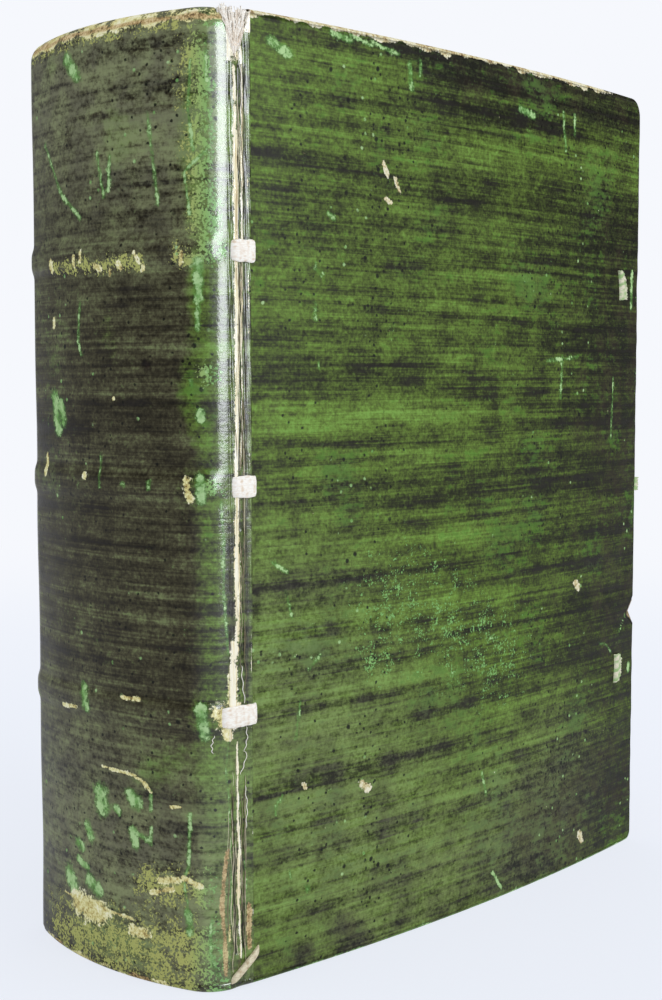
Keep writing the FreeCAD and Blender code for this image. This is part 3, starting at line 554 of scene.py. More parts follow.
def make_cover_skin(name, side):
    """The skin of a cover: a Coons patch between the edges, and a profile carried round the outline."""
    tail, fore, head = cover_outline(side)
    outline = np.concatenate([tail, fore[1:], head[1:]])
    along = np.gradient(outline, axis=0)
    outward = np.stack([along[:, 1], -along[:, 0]], -1)
    outward /= np.linalg.norm(outward, axis=1, keepdims=True)
    outward[0], outward[-1] = (0, -1), (0, 1)
    inset = outline - EDGE_RADIUS * outward
    bottom, right = inset[:len(tail)], inset[len(tail) - 1:len(tail) + len(fore) - 1]
    top = inset[len(tail) + len(fore) - 2:][::-1]
    left = np.linspace(bottom[0], top[0], len(right))
    u = np.linspace(0, 1, len(bottom))[:, None, None]
    v = np.linspace(0, 1, len(right))[None, :, None]
    face = ((1 - v) * bottom[:, None] + v * top[:, None] + (1 - u) * left[None] + u * right[None]
            - (1 - u) * (1 - v) * bottom[0] - u * (1 - v) * bottom[-1] - (1 - u) * v * top[0] - u * v * top[-1])
    x, z = face[..., 0], face[..., 1]
    inland = np.minimum.reduce([rise(x, 5, 14), rise(COVER_WIDTH - x, 3, 10), rise(z, 2, 9),
                                rise(COVER_HEIGHT - z, 2, 9)])
    dents = 0.16 * ripple(x, z, 41 if side > 0 else 43, 46) * inland
    edge = edge_profile()
    band = inset[:, None] + outward[:, None] * edge[None, :, 0, None]
    depth = np.broadcast_to(edge[:, 1], band.shape[:-1])

    def marks_at(x, z, rim):
        """The listed marks, and the wear along the edges as smooth steps of the distance to them."""
        marked = mark_fields(COVER_MARKS if side > 0 else {}, x, z)
        uneven = ripple(x, z, 51, 8)
        from_head = COVER_HEIGHT - z
        if side > 0:
            head_strip = rise(1.7 + 0.7 * uneven - from_head, 0, 0.9) * rise(150 - x, 0, 20)
            tail_line = 0.75 * rise(0.9 + 0.3 * uneven - z, 0, 0.6)
            add_mark(marked, "bared", head_strip)
            add_mark(marked, "flaked", tail_line)
            under_strip = rise(from_head, 1.6, 2.4) * rise(5.0 + uneven - from_head, 0, 2)
            add_mark(marked, "stain_and_shade", 0.5 * under_strip * rise(60 - x, 0, 40))
        marked["scattered"] = 0.54 * marked["scattered"]
        # On the front the listed pale marks are kept at half strength; the back cover is given an even pale veil
        # all over: painted sheen, which mutes its green.
        marked["fade_and_sheen"] = 0.52 * marked["fade_and_sheen"] if side > 0 else 0.35 + 0.15 * uneven
        add_mark(marked, "scattered", 0.35 * rise(x + 2 * uneven, COVER_WIDTH - 3, COVER_WIDTH))
        add_mark(marked, "bared", rim * (0.35 + 0.3 * uneven))
        marked["cover_side"] = np.ones(x.shape)
        return marked

    on_rim = rise(depth, 0.2, 1.2) * (1 - rise(depth, 2.2, 2.8))
    band_x, band_z = band[..., 0], band[..., 1]
    outside = lay_grid(name, cover_point(x, z, dents, side), flip=side > 0, paint=marks_at(x, z, 0))
    rim = lay_grid(name + "_rim", cover_point(band_x, band_z, depth, side), flip=side > 0,
                   paint=marks_at(band_x, band_z, on_rim))
    skin = join_pieces(name, [outside, rim])
    weld(skin.data, 0.01)
    return skin


# ---------------------------------------------------------------- slips, ties and threads

def make_slip(name, side, height, start, end, width=SLIP_WIDTH, slant=0.0):
    """A flat slip over the joint: a squared oval carried along its path.

    The path comes up out of the back's skin, lies on the joint and goes down into the cover."""
    lift = 0.42
    path = [(start - 1.0, 0.9), (start - 0.2, 0.35), (start + 0.5, -lift + 0.1), (start + 1.2, -lift),
            (end - 1.1, -lift), (end - 0.25, -lift + 0.12), (end + 0.3, 0.35), (end + 0.45, 1.9)]
    path = smooth(resample(path, 46), 3)
    around = full_turn(40)
    v = np.linspace(0, 1, len(path))[:, None]
    taper = rounded(v, 6)
    fibres = 1 + 0.06 * ripple(around * 9 * height, 0.5 * v * 40, 61, 9)
    wide = width / 2 * squared(np.cos(around), 0.6) * taper * (1 + 0.05 * ripple(v * 30, 0 * v, int(height), 9))
    thick = 0.52 * squared(np.sin(around), 0.6) * taper * fibres
    run = np.gradient(path, axis=0)
    run /= np.linalg.norm(run, axis=1, keepdims=True)
    t = path[:, :1] + run[:, 1:] * thick
    depth = path[:, 1:] - run[:, :1] * thick
    z = height + wide + slant * (t - start)
    dirt_and_shade = dirt_of(0.2, 0.35, t * 2, z * 3, 63, 3)
    return lay_grid(name, skin_point(t, z, depth, side), ring=True, flip=side > 0, paint=dirt_and_shade)


def make_support(name, height):
    """A sewing support under the skin: a squared oval carried round the back, inside the lifted skin."""
    s = np.linspace(1.3, BACK_LENGTH - 1.3, 90)[:, None]
    around = full_turn(24)
    close = rounded(s / BACK_LENGTH, 90)
    z = height + 2.3 * squared(np.cos(around), 0.5) * close
    points = back_point(s, z, 1.15 - 1.1 * squared(np.sin(around), 0.5) * close)
    return lay_grid(name, points, ring=True, paint=dirt_of(0.4, 0.3, s, z, 95, 5))


def make_tie(name, side, height):
    """The torn end of a tie: a strip that folds out of its slit, lies down and ends frayed."""
    path = [(146.3, 2.3), (146.3, 0.6), (146.5, -0.1), (147.1, -0.5), (148.0, -0.45), (149.7, -0.16)]
    path = smooth(resample(path, 26), 2)
    w = np.linspace(-1, 1, 40)[None, :]
    v = np.linspace(0, 1, len(path))[:, None]
    fray = 0.5 * ripple(w * 9, 0 * w, 71 + int(height), 1.3)
    lean = 1.1 * w * (-1 if height > COVER_HEIGHT / 2 else 0.3) - 0.9 * w ** 2
    x = path[:, :1] + rise(v, 0.6, 1.0) * fray + lean * rise(v, 0.1, 0.8)
    depth = path[:, 1:] + 0.08 * ripple(w * 12, v * 3, 73, 2.5)
    z = height + 4.35 * w * (1 - 0.10 * v) + 0.12 * ripple(v * 9, 0 * w, 75, 3)
    dirt_and_shade = dirt_of(0.45, 0.5, x, z, 77, 2.2)
    return thicken(lay_grid(name, cover_point(x, z, depth, side), flip=side > 0, paint=dirt_and_shade), 0.42)


def make_stub():
    """The strip left sticking out of the fore edge: flat, a little curled, with a torn end."""
    w = np.linspace(-1, 1, 24)[None, :]
    v = np.linspace(0, 1, 30)[:, None]
    x = STUB_START + STUB_REACH * v + rise(v, 0.7, 1) * 0.5 * ripple(w * 6, 0 * w, 81, 1.4)
    depth = 1.75 + 0.35 * rise(v, 0.4, 1) + 0.06 * ripple(w * 5, v * 4, 83, 2)
    z = STUB_HEIGHT + 2.15 * w * (1 - 0.12 * v) - 0.5 * rise(v, 0.3, 1)
    dirt_and_shade = dirt_of(0.6, 0.4, x, z, 85, 2)
    return thicken(lay_grid("torn_stub", cover_point(x, z, depth, 1), flip=True, paint=dirt_and_shade), 0.5)


def make_threads(name, count, seed, spread, reach, lengths):
    """Loose fibres along a joint: thin rods whose t wanders as a sum of sines while z runs on."""
    draw = np.random.default_rng(seed)
    steps = 22
    v = np.linspace(0, 1, steps)
    length = draw.uniform(*lengths, count)[:, None]
    z = draw.uniform(reach[0], reach[1], count)[:, None] + length * (v - 0.5)
    z = np.clip(z, reach[0], reach[1])
    t = (draw.uniform(*spread, count)[:, None] + draw.uniform(0.05, 0.3, (count, 1))
         * np.sin(z * draw.uniform(0.25, 0.9, (count, 1)) + draw.uniform(0, 6.3, (count, 1))))
    lift = 0.02 + draw.uniform(0.0, 0.22, (count, 1)) * np.sin(math.pi * v)
    radius = draw.uniform(0.05, 0.13, count)
    return tubes(name, skin_point(t, z, 0.12 - lift, 1), radius, draw.uniform(0, 1, count))


def make_torn_layer():
    """The bared inner layer that fills the torn V: u crosses the V, and upright ripples make its strips."""
    u = np.linspace(-1, 1, 60)[:, None]
    v = np.linspace(0, 1, 46)[None, :]
    z = TEAR_FOOT - 1.0 + v * (COVER_HEIGHT - TEAR_FOOT + 0.6 - 0.9 * rise(ripple(u * 6, 0 * u, 99, 2.2), -0.4, 1))
    open_here = np.clip((z - TEAR_FOOT) / (COVER_HEIGHT - TEAR_FOOT), 0, 1)
    left, right = -TEAR_ON_SPINE * open_here - 0.5, 0.3 + TEAR_ON_COVER * open_here + 0.5
    t = (left + right) / 2 + u * (right - left) / 2
    strips = ripple(t * 2.2, z * 0.16, 101, 1.5)
    depth = 0.62 + 0.26 * strips - 0.25 * np.exp(-((t - 0.2) / 1.5) ** 2) + 0.35 * np.abs(u) ** 4
    # The hollows between the strips, which the same ripple sets deeper, are painted darker: painted shade in the
    # hollows.
    dirt_and_shade = {"dirt_and_shade": np.clip(0.12 + 0.35 * strips, 0, 1)}
    return thicken(lay_grid("torn_layer", skin_point(t, z, depth, 1), paint=dirt_and_shade), 0.35)


def make_head_fray():
    """Fibres that stand out of the torn head of the joint: each leaves the V's edge and bends up."""
    draw = np.random.default_rng(97)
    count, steps = 110, 16
    v = np.linspace(0, 1, steps)
    up = draw.uniform(0.0, 0.8, (count, 1))
    across = draw.uniform(-1, 1, (count, 1))
    foot = TEAR_FOOT + up * (COVER_HEIGHT - TEAR_FOOT)
    length = draw.uniform(1.5, 6.0, (count, 1))
    z = foot + length * v
    z = np.minimum(z, COVER_HEIGHT + draw.uniform(-1.2, 0.4, (count, 1)))
    open_here = np.clip((z - TEAR_FOOT) / (COVER_HEIGHT - TEAR_FOOT), 0, 1)
    middle = 0.15 + (TEAR_ON_COVER - TEAR_ON_SPINE) / 2 * open_here
    t = middle + across * (0.35 + (TEAR_ON_COVER + TEAR_ON_SPINE) / 2 * open_here) + 0.12 * np.sin(v * 7 + up * 40)
    points = skin_point(t, z, 0.25 - draw.uniform(0.05, 0.5, (count, 1)) * np.sin(math.pi * v), 1)
    tone = draw.uniform(0, 0.5, count)
    return tubes("head_fray", points, draw.uniform(0.07, 0.22, count), tone)


CURLS = [
    [(1.2, 73.0), (1.5, 68.5), (2.1, 64.2)], [(2.4, 59.2), (2.7, 56.4), (1.9, 53.6)],
    [(1.1, 53.8), (2.7, 53.2), (1.7, 50.5), (0.7, 48.4)], [(-5.6, 58.0), (-6.2, 55.6), (-5.9, 53.9)],
    [(0.9, 207.0), (1.9, 199.0), (1.6, 190.0)], [(2.0, 46.0), (2.6, 41.0), (2.2, 36.0)],
]


def make_curls():
    """A few loose threads laid one by one: each polyline is smoothed and given small waves."""
    lines = []
    for number, line in enumerate(CURLS):
        path = smooth(resample(line, 30), 4)
        path[:, 0] += 0.16 * np.sin(np.linspace(0, 17 + number, 30))
        lines.append(path)
    lines = np.array(lines)
    points = skin_point(lines[..., 0], lines[..., 1], -0.12, 1)
    return tubes("curled_threads", points, np.full(len(lines), 0.1), np.full(len(lines), 0.15))


def make_endband(name, level, depth):
    """A wound endband: a tube round the back, its radius 0.84 + 0.13 |sin| of the winding's turns."""
    s = np.linspace(0.6, BACK_LENGTH - 0.6, 620)[:, None]
    around = full_turn(12)
    wound = (0.84 + 0.13 * np.abs(np.sin(s * math.tau / 1.1 / 2 + around / 2))) * rounded(s / BACK_LENGTH, 60)
    points = back_point(s, level + wound * np.sin(around), depth - wound * np.cos(around))
    return lay_grid(name, points, ring=True, flip=True, paint=dirt_of(0.5, 0.4, s * 3, around, 91, 6))


# ---------------------------------------------------------------- finishes

def ink(red, green, blue):
    """A colour named by its screen values, as linear light."""
    share = [v / 255 for v in (red, green, blue)]
    return tuple(v / 12.92 if v < 0.04045 else ((v + 0.055) / 1.055) ** 2.4 for v in share) + (1.0,)


class Nodes:
    """A node tree in the making: each call adds a node and hands back what it puts out."""

    def __init__(self, tree):
        self.nodes, self.links = tree.nodes, tree.links

    def feed(self, socket, value):
        """Links another node's output to a socket, or writes a plain value into it."""
        if isinstance(value, bpy.types.NodeSocket):
            self.links.new(value, socket)
        else:
            socket.default_value = value

    def add(self, kind, inputs, output=0, **settings):
        """A node of a kind with its settings; inputs and output go by their place or their label."""
        node = self.nodes.new("ShaderNode" + kind)
        for label, value in settings.items():
            setattr(node, label, value)
        for label, value in inputs.items():
            self.feed(node.inputs[label], value)
        return node.outputs[output]

    def reckon(self, kind, a, b, clamp=False):
        """One sum of two values, held within 0 and 1 where clamp says so."""
        return self.add("Math", {0: a, 1: b}, operation=kind, use_clamp=clamp)

    def plus(self, a, b, clamp=False):
        """a + b"""
        return self.reckon("ADD", a, b, clamp)

    def minus(self, a, b):
        """a - b"""
        return self.reckon("SUBTRACT", a, b)

    def times(self, a, b):
        """a * b"""
        return self.reckon("MULTIPLY", a, b)

    def most(self, first, *others):
        """The greatest of some values."""
        for other in others:
            first = self.reckon("MAXIMUM", first, other)
        return first

    def rays(self, *kinds):
        """1 for rays of any of these kinds, and 0 for the others."""
        path = self.nodes.new("ShaderNodeLightPath")
        return self.most(*(path.outputs[f"Is {kind} Ray"] for kind in kinds))

    def mixed(self, share, first, second):
        """The first shader where share is 0 and the second where it is 1."""
        return self.add("MixShader", {0: share, 1: first, 2: second})


class Finish(Nodes):
    """One material, on object coordinates."""

    def __init__(self, name):
        self.material = bpy.data.materials.new(name)
        self.material.use_nodes = True
        super().__init__(self.material.node_tree)
        self.shader = self.nodes["Principled BSDF"]
        self.place = self.add("TexCoord", {}, "Object")

    def noise(self, scale, detail=4.0, rough=0.55, vector=None):
        """Cloudy noise, scale to the metre."""
        return self.add("TexNoise", {"Vector": vector or self.place, "Scale": scale,
                                     "Detail": detail, "Roughness": rough})

    def grain(self, scale, detail, rough, tilt=0.0):
        """Noise drawn out along an axis: scale is its fineness along each, and tilt turns it about Y."""
        turned = self.add("Mapping", {"Vector": self.place, "Rotation": (0, tilt, 0), "Scale": scale})
        return self.noise(1.0, detail, rough, turned)

    def cells(self, scale, vector=None, output="Distance"):
        """Cells round scattered points: the distance to the nearest point, or a random colour of its own."""
        return self.add("TexVoronoi", {"Vector": vector or self.place, "Scale": scale}, output)

    def mark(self, name):
        """A value painted on the mesh."""
        return self.add("Attribute", {}, "Fac", attribute_name=name)

    def weigh(self, base, *parts):
        """base + the sum of weight * (value - 0.5)."""
        total = base - 0.5 * sum(weight for _, weight in parts)
        for value, weight in parts:
            total = self.add("Math", {0: value, 1: weight, 2: total}, operation="MULTIPLY_ADD")
        return total

    def span(self, value, low, high, start=0.0, end=1.0):
        """start below low, end above high, and a smooth step between them."""
        return self.add("MapRange", {0: value, 1: low, 2: high, 3: start, 4: end},
                        interpolation_type="SMOOTHSTEP")

    def blend(self, share, a, b):
        """(1 - share) * a + share * b, of two colours."""
        return self.add("Mix", {0: share, 6: a, 7: b}, 2, data_type="RGBA")

    def scale_of(self, value, stops):
        """A colour scale: each stop is its place and the colour's screen values."""
        shown = self.add("ValToRGB", {0: value})
        points = shown.node.color_ramp.elements
        while len(points) < len(stops):
            points.new(0.5)
        for point, (at, *shade) in zip(points, stops):
            point.position, point.color = at, ink(*shade)
        return shown

    def relief(self, height, depth, strength, normal=None):
        """A normal bent by height, which is depth millimetres high, over another normal."""
        under = {} if normal is None else {"Normal": normal}
        return self.add("Bump", {"Strength": strength, "Distance": depth * MM, "Height": height, **under})

    def finish(self, colour, roughness, normal=None, **fixed):
        """Feeds the shader, each fixed value by its input's label, and hands back the material."""
        under = {} if normal is None else {"Normal": normal}
        for label, value in {"Base Color": colour, "Roughness": roughness, **under, **fixed}.items():
            self.feed(self.shader.inputs[label.replace("_", " ")], value)
        return self.material


def stained_parchment(name, tilt, gloss, coat, bare, fibrous=False):
    """Brushed green-black stain on skin: strokes are noise drawn out sideways, and the wear painted
    on the mesh shows where it beats a fine noise, so that its edges are ragged. Marks on the mesh also
    lower the tone with painted shade and lay a pale veil of painted sheen."""
    f = Finish(name)
    hair = f.grain((26, 26, 1300), 4.0, 0.65, tilt)
    stroke = f.grain((12, 12, 380), 5.0, 0.6, tilt)
    band = f.grain((5, 5, 95), 3.0, 0.55, tilt)
    dapple = f.grain((330, 330, 640), 4.0, 0.6, tilt)
    fine = f.noise(1250.0, 3.0, 0.6)
    blotch = f.noise(34.0, 5.0, 0.62)
    cloud = f.noise(115.0, 4.0, 0.6)
    lush = f.times(f.mark("greened"), f.span(blotch, 0.3, 0.62))
    tone = f.weigh(0.5, (hair, 0.6), (stroke, 0.75), (band, 0.55), (dapple, 0.42), (fine, 0.6), (cloud, 0.45))
    tone = f.plus(tone, f.times(lush, 0.07))
    # A mark of stains and painted shade lowers the tone, and a mark of fading and painted sheen raises it.
    tone = f.minus(tone, f.times(f.mark("stain_and_shade"), 0.21))
    tone = f.plus(tone, f.times(f.mark("fade_and_sheen"), 0.07))
    green = f.scale_of(tone, [(0.20, 22, 24, 9), (0.34, 45, 52, 19), (0.45, 66, 80, 28),
                              (0.55, 84, 105, 36), (0.66, 100, 129, 47), (0.82, 118, 158, 66)])
    brown = f.scale_of(tone, [(0.20, 20, 16, 9), (0.34, 38, 34, 21), (0.45, 54, 50, 33),
                              (0.55, 70, 67, 46), (0.66, 90, 91, 62), (0.82, 118, 128, 84)])
    side = f.plus(f.mark("cover_side"), f.times(lush, 0.5))
    side = f.span(f.plus(side, f.weigh(0.0, (blotch, 1.3), (dapple, 0.9))), 0.1, 0.9)
    colour = f.blend(side, brown, green)
    vivid = f.span(f.weigh(0.5, (dapple, 0.7), (blotch, 0.9), (stroke, 0.5)), 0.56, 0.74)
    vivid = f.times(vivid, f.times(side, 0.65))
    colour = f.blend(vivid, colour, ink(70, 116, 28))
    violet = f.span(f.weigh(0.5, (stroke, 0.9), (cloud, 0.7), (hair, 0.5)), 0.42, 0.26)
    colour = f.blend(f.times(violet, 0.6), colour, ink(38, 34, 30))
    # The pale grey-olive veil over the colour: painted sheen, and fading in part, where the mark of fading and
    # sheen is strong and in some blotches.
    veil = f.plus(f.times(f.mark("fade_and_sheen"), 0.76), f.times(f.span(blotch, 0.52, 0.74), 0.14))
    veil = f.times(veil, f.span(f.weigh(0.5, (stroke, 0.7), (dapple, 0.7), (fine, 0.5)), 0.28, 0.66))
    colour = f.blend(veil, colour, f.blend(f.span(cloud, 0.4, 0.6), ink(116, 116, 92), ink(138, 144, 104)))
    # The mark of stains and painted shade also turns the colour towards reddish brown.
    rust = f.span(f.plus(f.times(f.mark("stain_and_shade"), 0.3), cloud), 0.68, 0.95)
    colour = f.blend(f.times(rust, 0.5), colour, ink(50, 34, 30))

    # Specks of dark stain, their places shaken by a fine noise
    shake = f.add("TexNoise", {"Vector": f.place, "Scale": 1500.0}, "Color")
    small = f.add("VectorMath", {0: shake, "Scale": 0.0005}, operation="SCALE")
    shaken = f.add("VectorMath", {0: f.place, 1: small}, operation="ADD")
    specks = []
    for scale, size, rarity in ((520.0, 0.25, 0.56), (250.0, 0.19, 0.72)):
        chance = f.plus(f.cells(scale, shaken, "Color"), f.times(f.minus(blotch, 0.5), 1.2))
        near = f.span(f.cells(scale, shaken), size, size * 0.5)
        specks.append(f.times(near, f.span(chance, rarity, rarity + 0.08)))
    colour = f.blend(f.times(f.most(*specks), 0.92), colour, ink(12, 12, 7))
    chip = f.cells(360.0, shaken)
    luck = f.plus(f.cells(360.0, shaken, "Color"), f.weigh(0.0, (blotch, 1.5)))
    chip = f.times(f.span(chip, 0.20, 0.10), f.span(luck, 0.77, 0.83))

    # Flaked, bared and tanned places
    patch = f.noise(330.0, 5.0, 0.65)
    crumbs = f.noise(1700.0, 3.0, 0.6)
    broken = f.weigh(0.0, (fine, 1.5), (patch, 2.0), (blotch, 0.8))
    halo = f.span(f.plus(f.mark("flaked"), f.times(broken, 0.7)), 0.2, 0.75)
    flaked = f.most(f.span(f.plus(f.mark("flaked"), broken), 0.58, 0.90), f.times(chip, 0.85))
    bared = f.span(f.plus(f.mark("bared"), f.weigh(0.0, (crumbs, 1.0), (patch, 1.8), (blotch, 0.7))), 0.52, 0.74)
    tanned = f.span(f.plus(f.mark("tanned"), f.weigh(0.0, (crumbs, 1.3), (patch, 1.6))), 0.45, 0.8)
    level = f.plus(f.times(f.mark("scattered"), 0.36), f.weigh(0.0, (patch, 1.0), (crumbs, 1.2)))
    scattered = f.times(f.span(level, 0.28, 0.38), f.span(f.mark("scattered"), 0.02, 0.25))
    mint = f.blend(f.span(patch, 0.38, 0.62), ink(112, 160, 84), ink(176, 208, 146))
    bare_tone = f.grain((1500, 1500, 55), 4.0, 0.65) if fibrous else f.weigh(0.5, (patch, 0.9), (crumbs, 0.6))
    cream = f.scale_of(bare_tone, bare)
    tan = f.scale_of(f.weigh(0.5, (patch, 0.7), (crumbs, 0.9)),
                     [(0.36, 136, 100, 62), (0.5, 184, 152, 104), (0.64, 220, 196, 146)])
    crumb = f.blend(f.mark("cover_side"), ink(176, 178, 104), ink(128, 178, 102))
    colour = f.blend(scattered, colour, crumb)
    colour = f.blend(f.times(halo, 0.6), colour, ink(90, 142, 62))
    colour = f.blend(flaked, colour, mint)
    colour = f.blend(bared, colour, cream)
    colour = f.blend(f.times(tanned, 0.85), colour, tan)
    colour = f.blend(f.times(f.span(f.mark("cracked"), 0.35, 0.8), 0.85), colour, ink(46, 36, 28))

    opened = f.most(flaked, bared, scattered, tanned)
    rough = f.span(f.weigh(0.5, (stroke, 0.5), (fine, 0.6)), 0.35, 0.65, gloss, gloss + 0.2)
    rough = f.plus(rough, f.times(opened, 0.35), clamp=True)
    normal = f.relief(hair, 0.06, 0.5)
    normal = f.relief(fine, 0.05, 0.7, normal)
    normal = f.relief(opened, -0.10, 0.8, normal)
    f.feed(f.shader.inputs["Coat Normal"], f.relief(fine, 0.05, 0.9, f.relief(hair, 0.04, 0.6)))
    if coat:
        f.feed(f.shader.inputs["Coat Weight"], f.span(f.mark("cover_side"), 0.0, 0.8, 0.06, coat))
    return f.finish(colour, rough, normal, Specular_IOR_Level=0.12, Coat_Roughness=0.16, Coat_IOR=1.5)


def tawed_skin(name, clean, soiled):
    """Pale fibrous skin of slips and threads: painted soiling, which on the torn layer is also painted shade in
    its hollows, and fine fibre noise.
    """
    f = Finish(name)
    fibre = f.grain((900, 900, 3600), 5.0, 0.6)
    mottle = f.noise(700.0, 4.0, 0.6)
    dirt_and_shade = f.span(f.plus(f.times(f.mark("dirt_and_shade"), 0.7), f.times(mottle, 0.6)), 0.35, 0.95)
    colour = f.blend(dirt_and_shade, clean, soiled)
    colour = f.blend(f.times(f.span(fibre, 0.56, 0.40), 0.3), colour, soiled)
    return f.finish(colour, 0.72, f.relief(fibre, 0.15, 0.7), Specular_IOR_Level=0.25)


def leaf_edges(name):
    """The cut edges of the leaves: lines that change only through the thickness of the block."""
    f = Finish(name)
    leaves = f.grain((4, 2600, 4), 6.0, 0.7)
    gatherings = f.grain((5, 420, 5), 3.0, 0.5)
    soil = f.noise(46.0, 5.0, 0.6)
    tone = f.plus(f.times(leaves, 0.65), f.times(gatherings, 0.35))
    colour = f.scale_of(tone, [(0.30, 92, 74, 48), (0.45, 164, 142, 100), (0.62, 208, 190, 148)])
    colour = f.blend(f.times(f.span(soil, 0.48, 0.72), 0.55), colour, ink(118, 96, 62))
    return f.finish(colour, 0.82, f.relief(tone, 0.35, 0.8), Specular_IOR_Level=0.2)


def old_paper(name, warm=0.0):
    """Laid rag paper: close laid lines, cloudy toning and foxing spots."""
    f = Finish(name)
    laid = f.grain((30, 30, 1400), 2.0, 0.5)
    cloud = f.noise(22.0, 5.0, 0.6)
    spots = f.cells(120.0)
    few = f.span(f.cells(120.0, output="Color"), 0.70, 0.85)
    colour = f.scale_of(cloud, [(0.34, 176, 150, 104), (0.5, 206, 186, 142), (0.66, 222, 206, 168)])
    foxed = f.times(f.span(spots, 0.34, 0.05), few)
    colour = f.blend(f.times(foxed, 0.55), colour, ink(150, 104, 56))
    colour = f.blend(0.12 + warm, colour, ink(150, 120, 76))
    return f.finish(colour, 0.85, f.relief(laid, 0.05, 0.5), Specular_IOR_Level=0.2)


def pasteboard(name):
    """Grey-brown board of pasted waste paper: layers through its thickness and coarse specks."""
    f = Finish(name)
    layers = f.grain((20, 1800, 20), 4.0, 0.6)
    specks = f.noise(700.0, 3.0, 0.7)
    colour = f.scale_of(f.plus(f.times(layers, 0.5), f.times(specks, 0.5)),
                        [(0.34, 92, 76, 54), (0.5, 142, 122, 90), (0.66, 172, 154, 118)])
    return f.finish(colour, 0.9, f.relief(specks, 0.12, 0.7), Specular_IOR_Level=0.2)


def wound_thread(name):
    """Two threads wound over the endband's core, plain and a washed-out green, in turns along the back."""
    f = Finish(name)
    turns = f.grain((900, 900, 300), 2.0, 0.5)
    grime = f.noise(160.0, 4.0, 0.6)
    colour = f.blend(f.span(turns, 0.47, 0.53), ink(206, 186, 138), ink(112, 122, 80))
    colour = f.blend(f.times(f.span(grime, 0.42, 0.7), 0.6), colour, ink(96, 78, 50))
    return f.finish(colour, 0.8, f.relief(f.noise(2600.0, 2.0), 0.06, 0.6), Specular_IOR_Level=0.2)


# ---------------------------------------------------------------- the dressed book

TILT = math.radians(-6.0)
SPOT_BARE = [(0.36, 150, 120, 84), (0.46, 198, 182, 134), (0.54, 216, 208, 168), (0.64, 234, 228, 202)]
BACK_BARE = [(0.34, 166, 138, 82), (0.45, 212, 200, 130), (0.55, 232, 226, 168), (0.66, 246, 242, 210)]
JOINT_BARE = [(0.30, 160, 128, 90), (0.42, 236, 222, 176), (0.52, 248, 240, 212), (0.64, 253, 249, 236)]
COVER_FINISH = stained_parchment("stained_parchment_cover", TILT, 0.42, 0.0, SPOT_BARE)
BACK_FINISH = stained_parchment("stained_parchment_back", 0.0, 0.34, 0.8, BACK_BARE)
JOINT_FINISH = stained_parchment("stained_parchment_joint", 0.0, 0.36, 0.5, JOINT_BARE, fibrous=True)
SLIP_FINISH = tawed_skin("tawed_slip", ink(253, 249, 240), ink(222, 198, 170))
ENDBAND_SLIP_FINISH = tawed_skin("tawed_endband_slip", ink(226, 216, 186), ink(168, 140, 104))
TIE_FINISH = tawed_skin("tawed_tie", ink(222, 214, 190), ink(150, 182, 118))
THREAD_FINISH = tawed_skin("loose_thread", ink(232, 224, 190), ink(120, 108, 80))
PAPER_FINISH = old_paper("laid_paper")
PASTEDOWN_FINISH = old_paper("pasted_paper", 0.06)


def dress(piece, finish, body=None):
    """Gives a piece its finish and slot, and lets it ride on a body."""
    piece.data.materials.clear()
    piece.data.materials.append(finish)
    if body:
        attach(piece, body)
    return piece


def over_joint(piece):
    """Bakes the transform of a piece that lies over a joint into its mesh."""
    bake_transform(piece)


back_skin = dress(make_back_skin(), BACK_FINISH, "book")
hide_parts("spine_covering")

for side_name, side in SIDES.items():
    cover_body = side_name + "_cover"
    covering = side_name + "_covering"
    skin = dress(make_cover_skin(side_name + "_cover_skin", side), COVER_FINISH, cover_body)
    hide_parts(covering)
    joint = dress(make_joint_skin(side_name + "_joint_skin", side, side > 0), JOINT_FINISH)
    over_joint(joint)
    for place, height in SUPPORT_HEIGHTS.items():
        bare = -3.6 if (side_name, place) == ("front", "lower") else -0.6
        slip = dress(make_slip(f"{side_name}_{place}_slip", side, height, bare, 4.9), SLIP_FINISH)
        over_joint(slip)
        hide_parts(f"{side_name}_slip_{place}")
    for place, height in TIE_HEIGHTS.items():
        tie = dress(make_tie(f"{side_name}_{place}_tie", side, height), TIE_FINISH,
                    cover_body)
        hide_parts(f"{side_name}_tie_{place}")

for place, height in SUPPORT_HEIGHTS.items():
    support = dress(make_support(place + "_support", height), SLIP_FINISH, "book")
    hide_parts("sewing_support_" + place)

ENDBAND_SLIPS = (("front", "tail", 2.4, 0.78), ("back", "tail", 2.4, 0.78), ("back", "head", 212.6, -0.78))
for side_name, end, height, slant in ENDBAND_SLIPS:
    side = SIDES[side_name]
    slip = make_slip(f"{side_name}_{end}_endband_slip", side, height, -1.4, 5.2, 2.0, slant)
    dress(slip, ENDBAND_SLIP_FINISH)
    over_joint(slip)
    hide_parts(f"{side_name}_endband_slip_{end}")

stub = dress(make_stub(), TIE_FINISH, "front_cover")
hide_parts("front_tie_stub")

threads = make_threads("joint_threads", 46, 7, (-0.3, 2.3), (66, 203), (6, 30))
dress(threads, THREAD_FINISH)
over_joint(threads)
low_threads = make_threads("joint_threads_tail", 34, 17, (-2.6, 2.6), (4, 56), (6, 24))
dress(low_threads, THREAD_FINISH)
over_joint(low_threads)
for loose in (make_torn_layer(), make_head_fray(), make_curls()):
    over_joint(dress(loose, SLIP_FINISH))

ENDBAND_FINISH = wound_thread("wound_endband")
for end in ("tail", "head"):
    low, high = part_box(end + "_endband")
    level = (low[2] + high[2]) / 2 / MM
    depth = (low[0] / MM - ROW_SHIFT) + SPINE_BULGE + 1.0
    band = dress(make_endband(end + "_endband_wound", level, depth), ENDBAND_FINISH, "book")
    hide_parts(end + "_endband")

CAD_FINISHES = {"text_block": leaf_edges("leaf_edges"), "board": pasteboard("pasteboard"),
                "flyleaf": PAPER_FINISH, "pastedown": PASTEDOWN_FINISH,
                "lining": old_paper("lining_paper", 0.3)}
for name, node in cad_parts.items():
    for word, finish in CAD_FINISHES.items():
        if word in name:
            node.data.materials.clear()
            node.data.materials.append(finish)


# ---------------------------------------------------------------- floor, light and camera

WALL_COLOUR = ink(246, 248, 253)


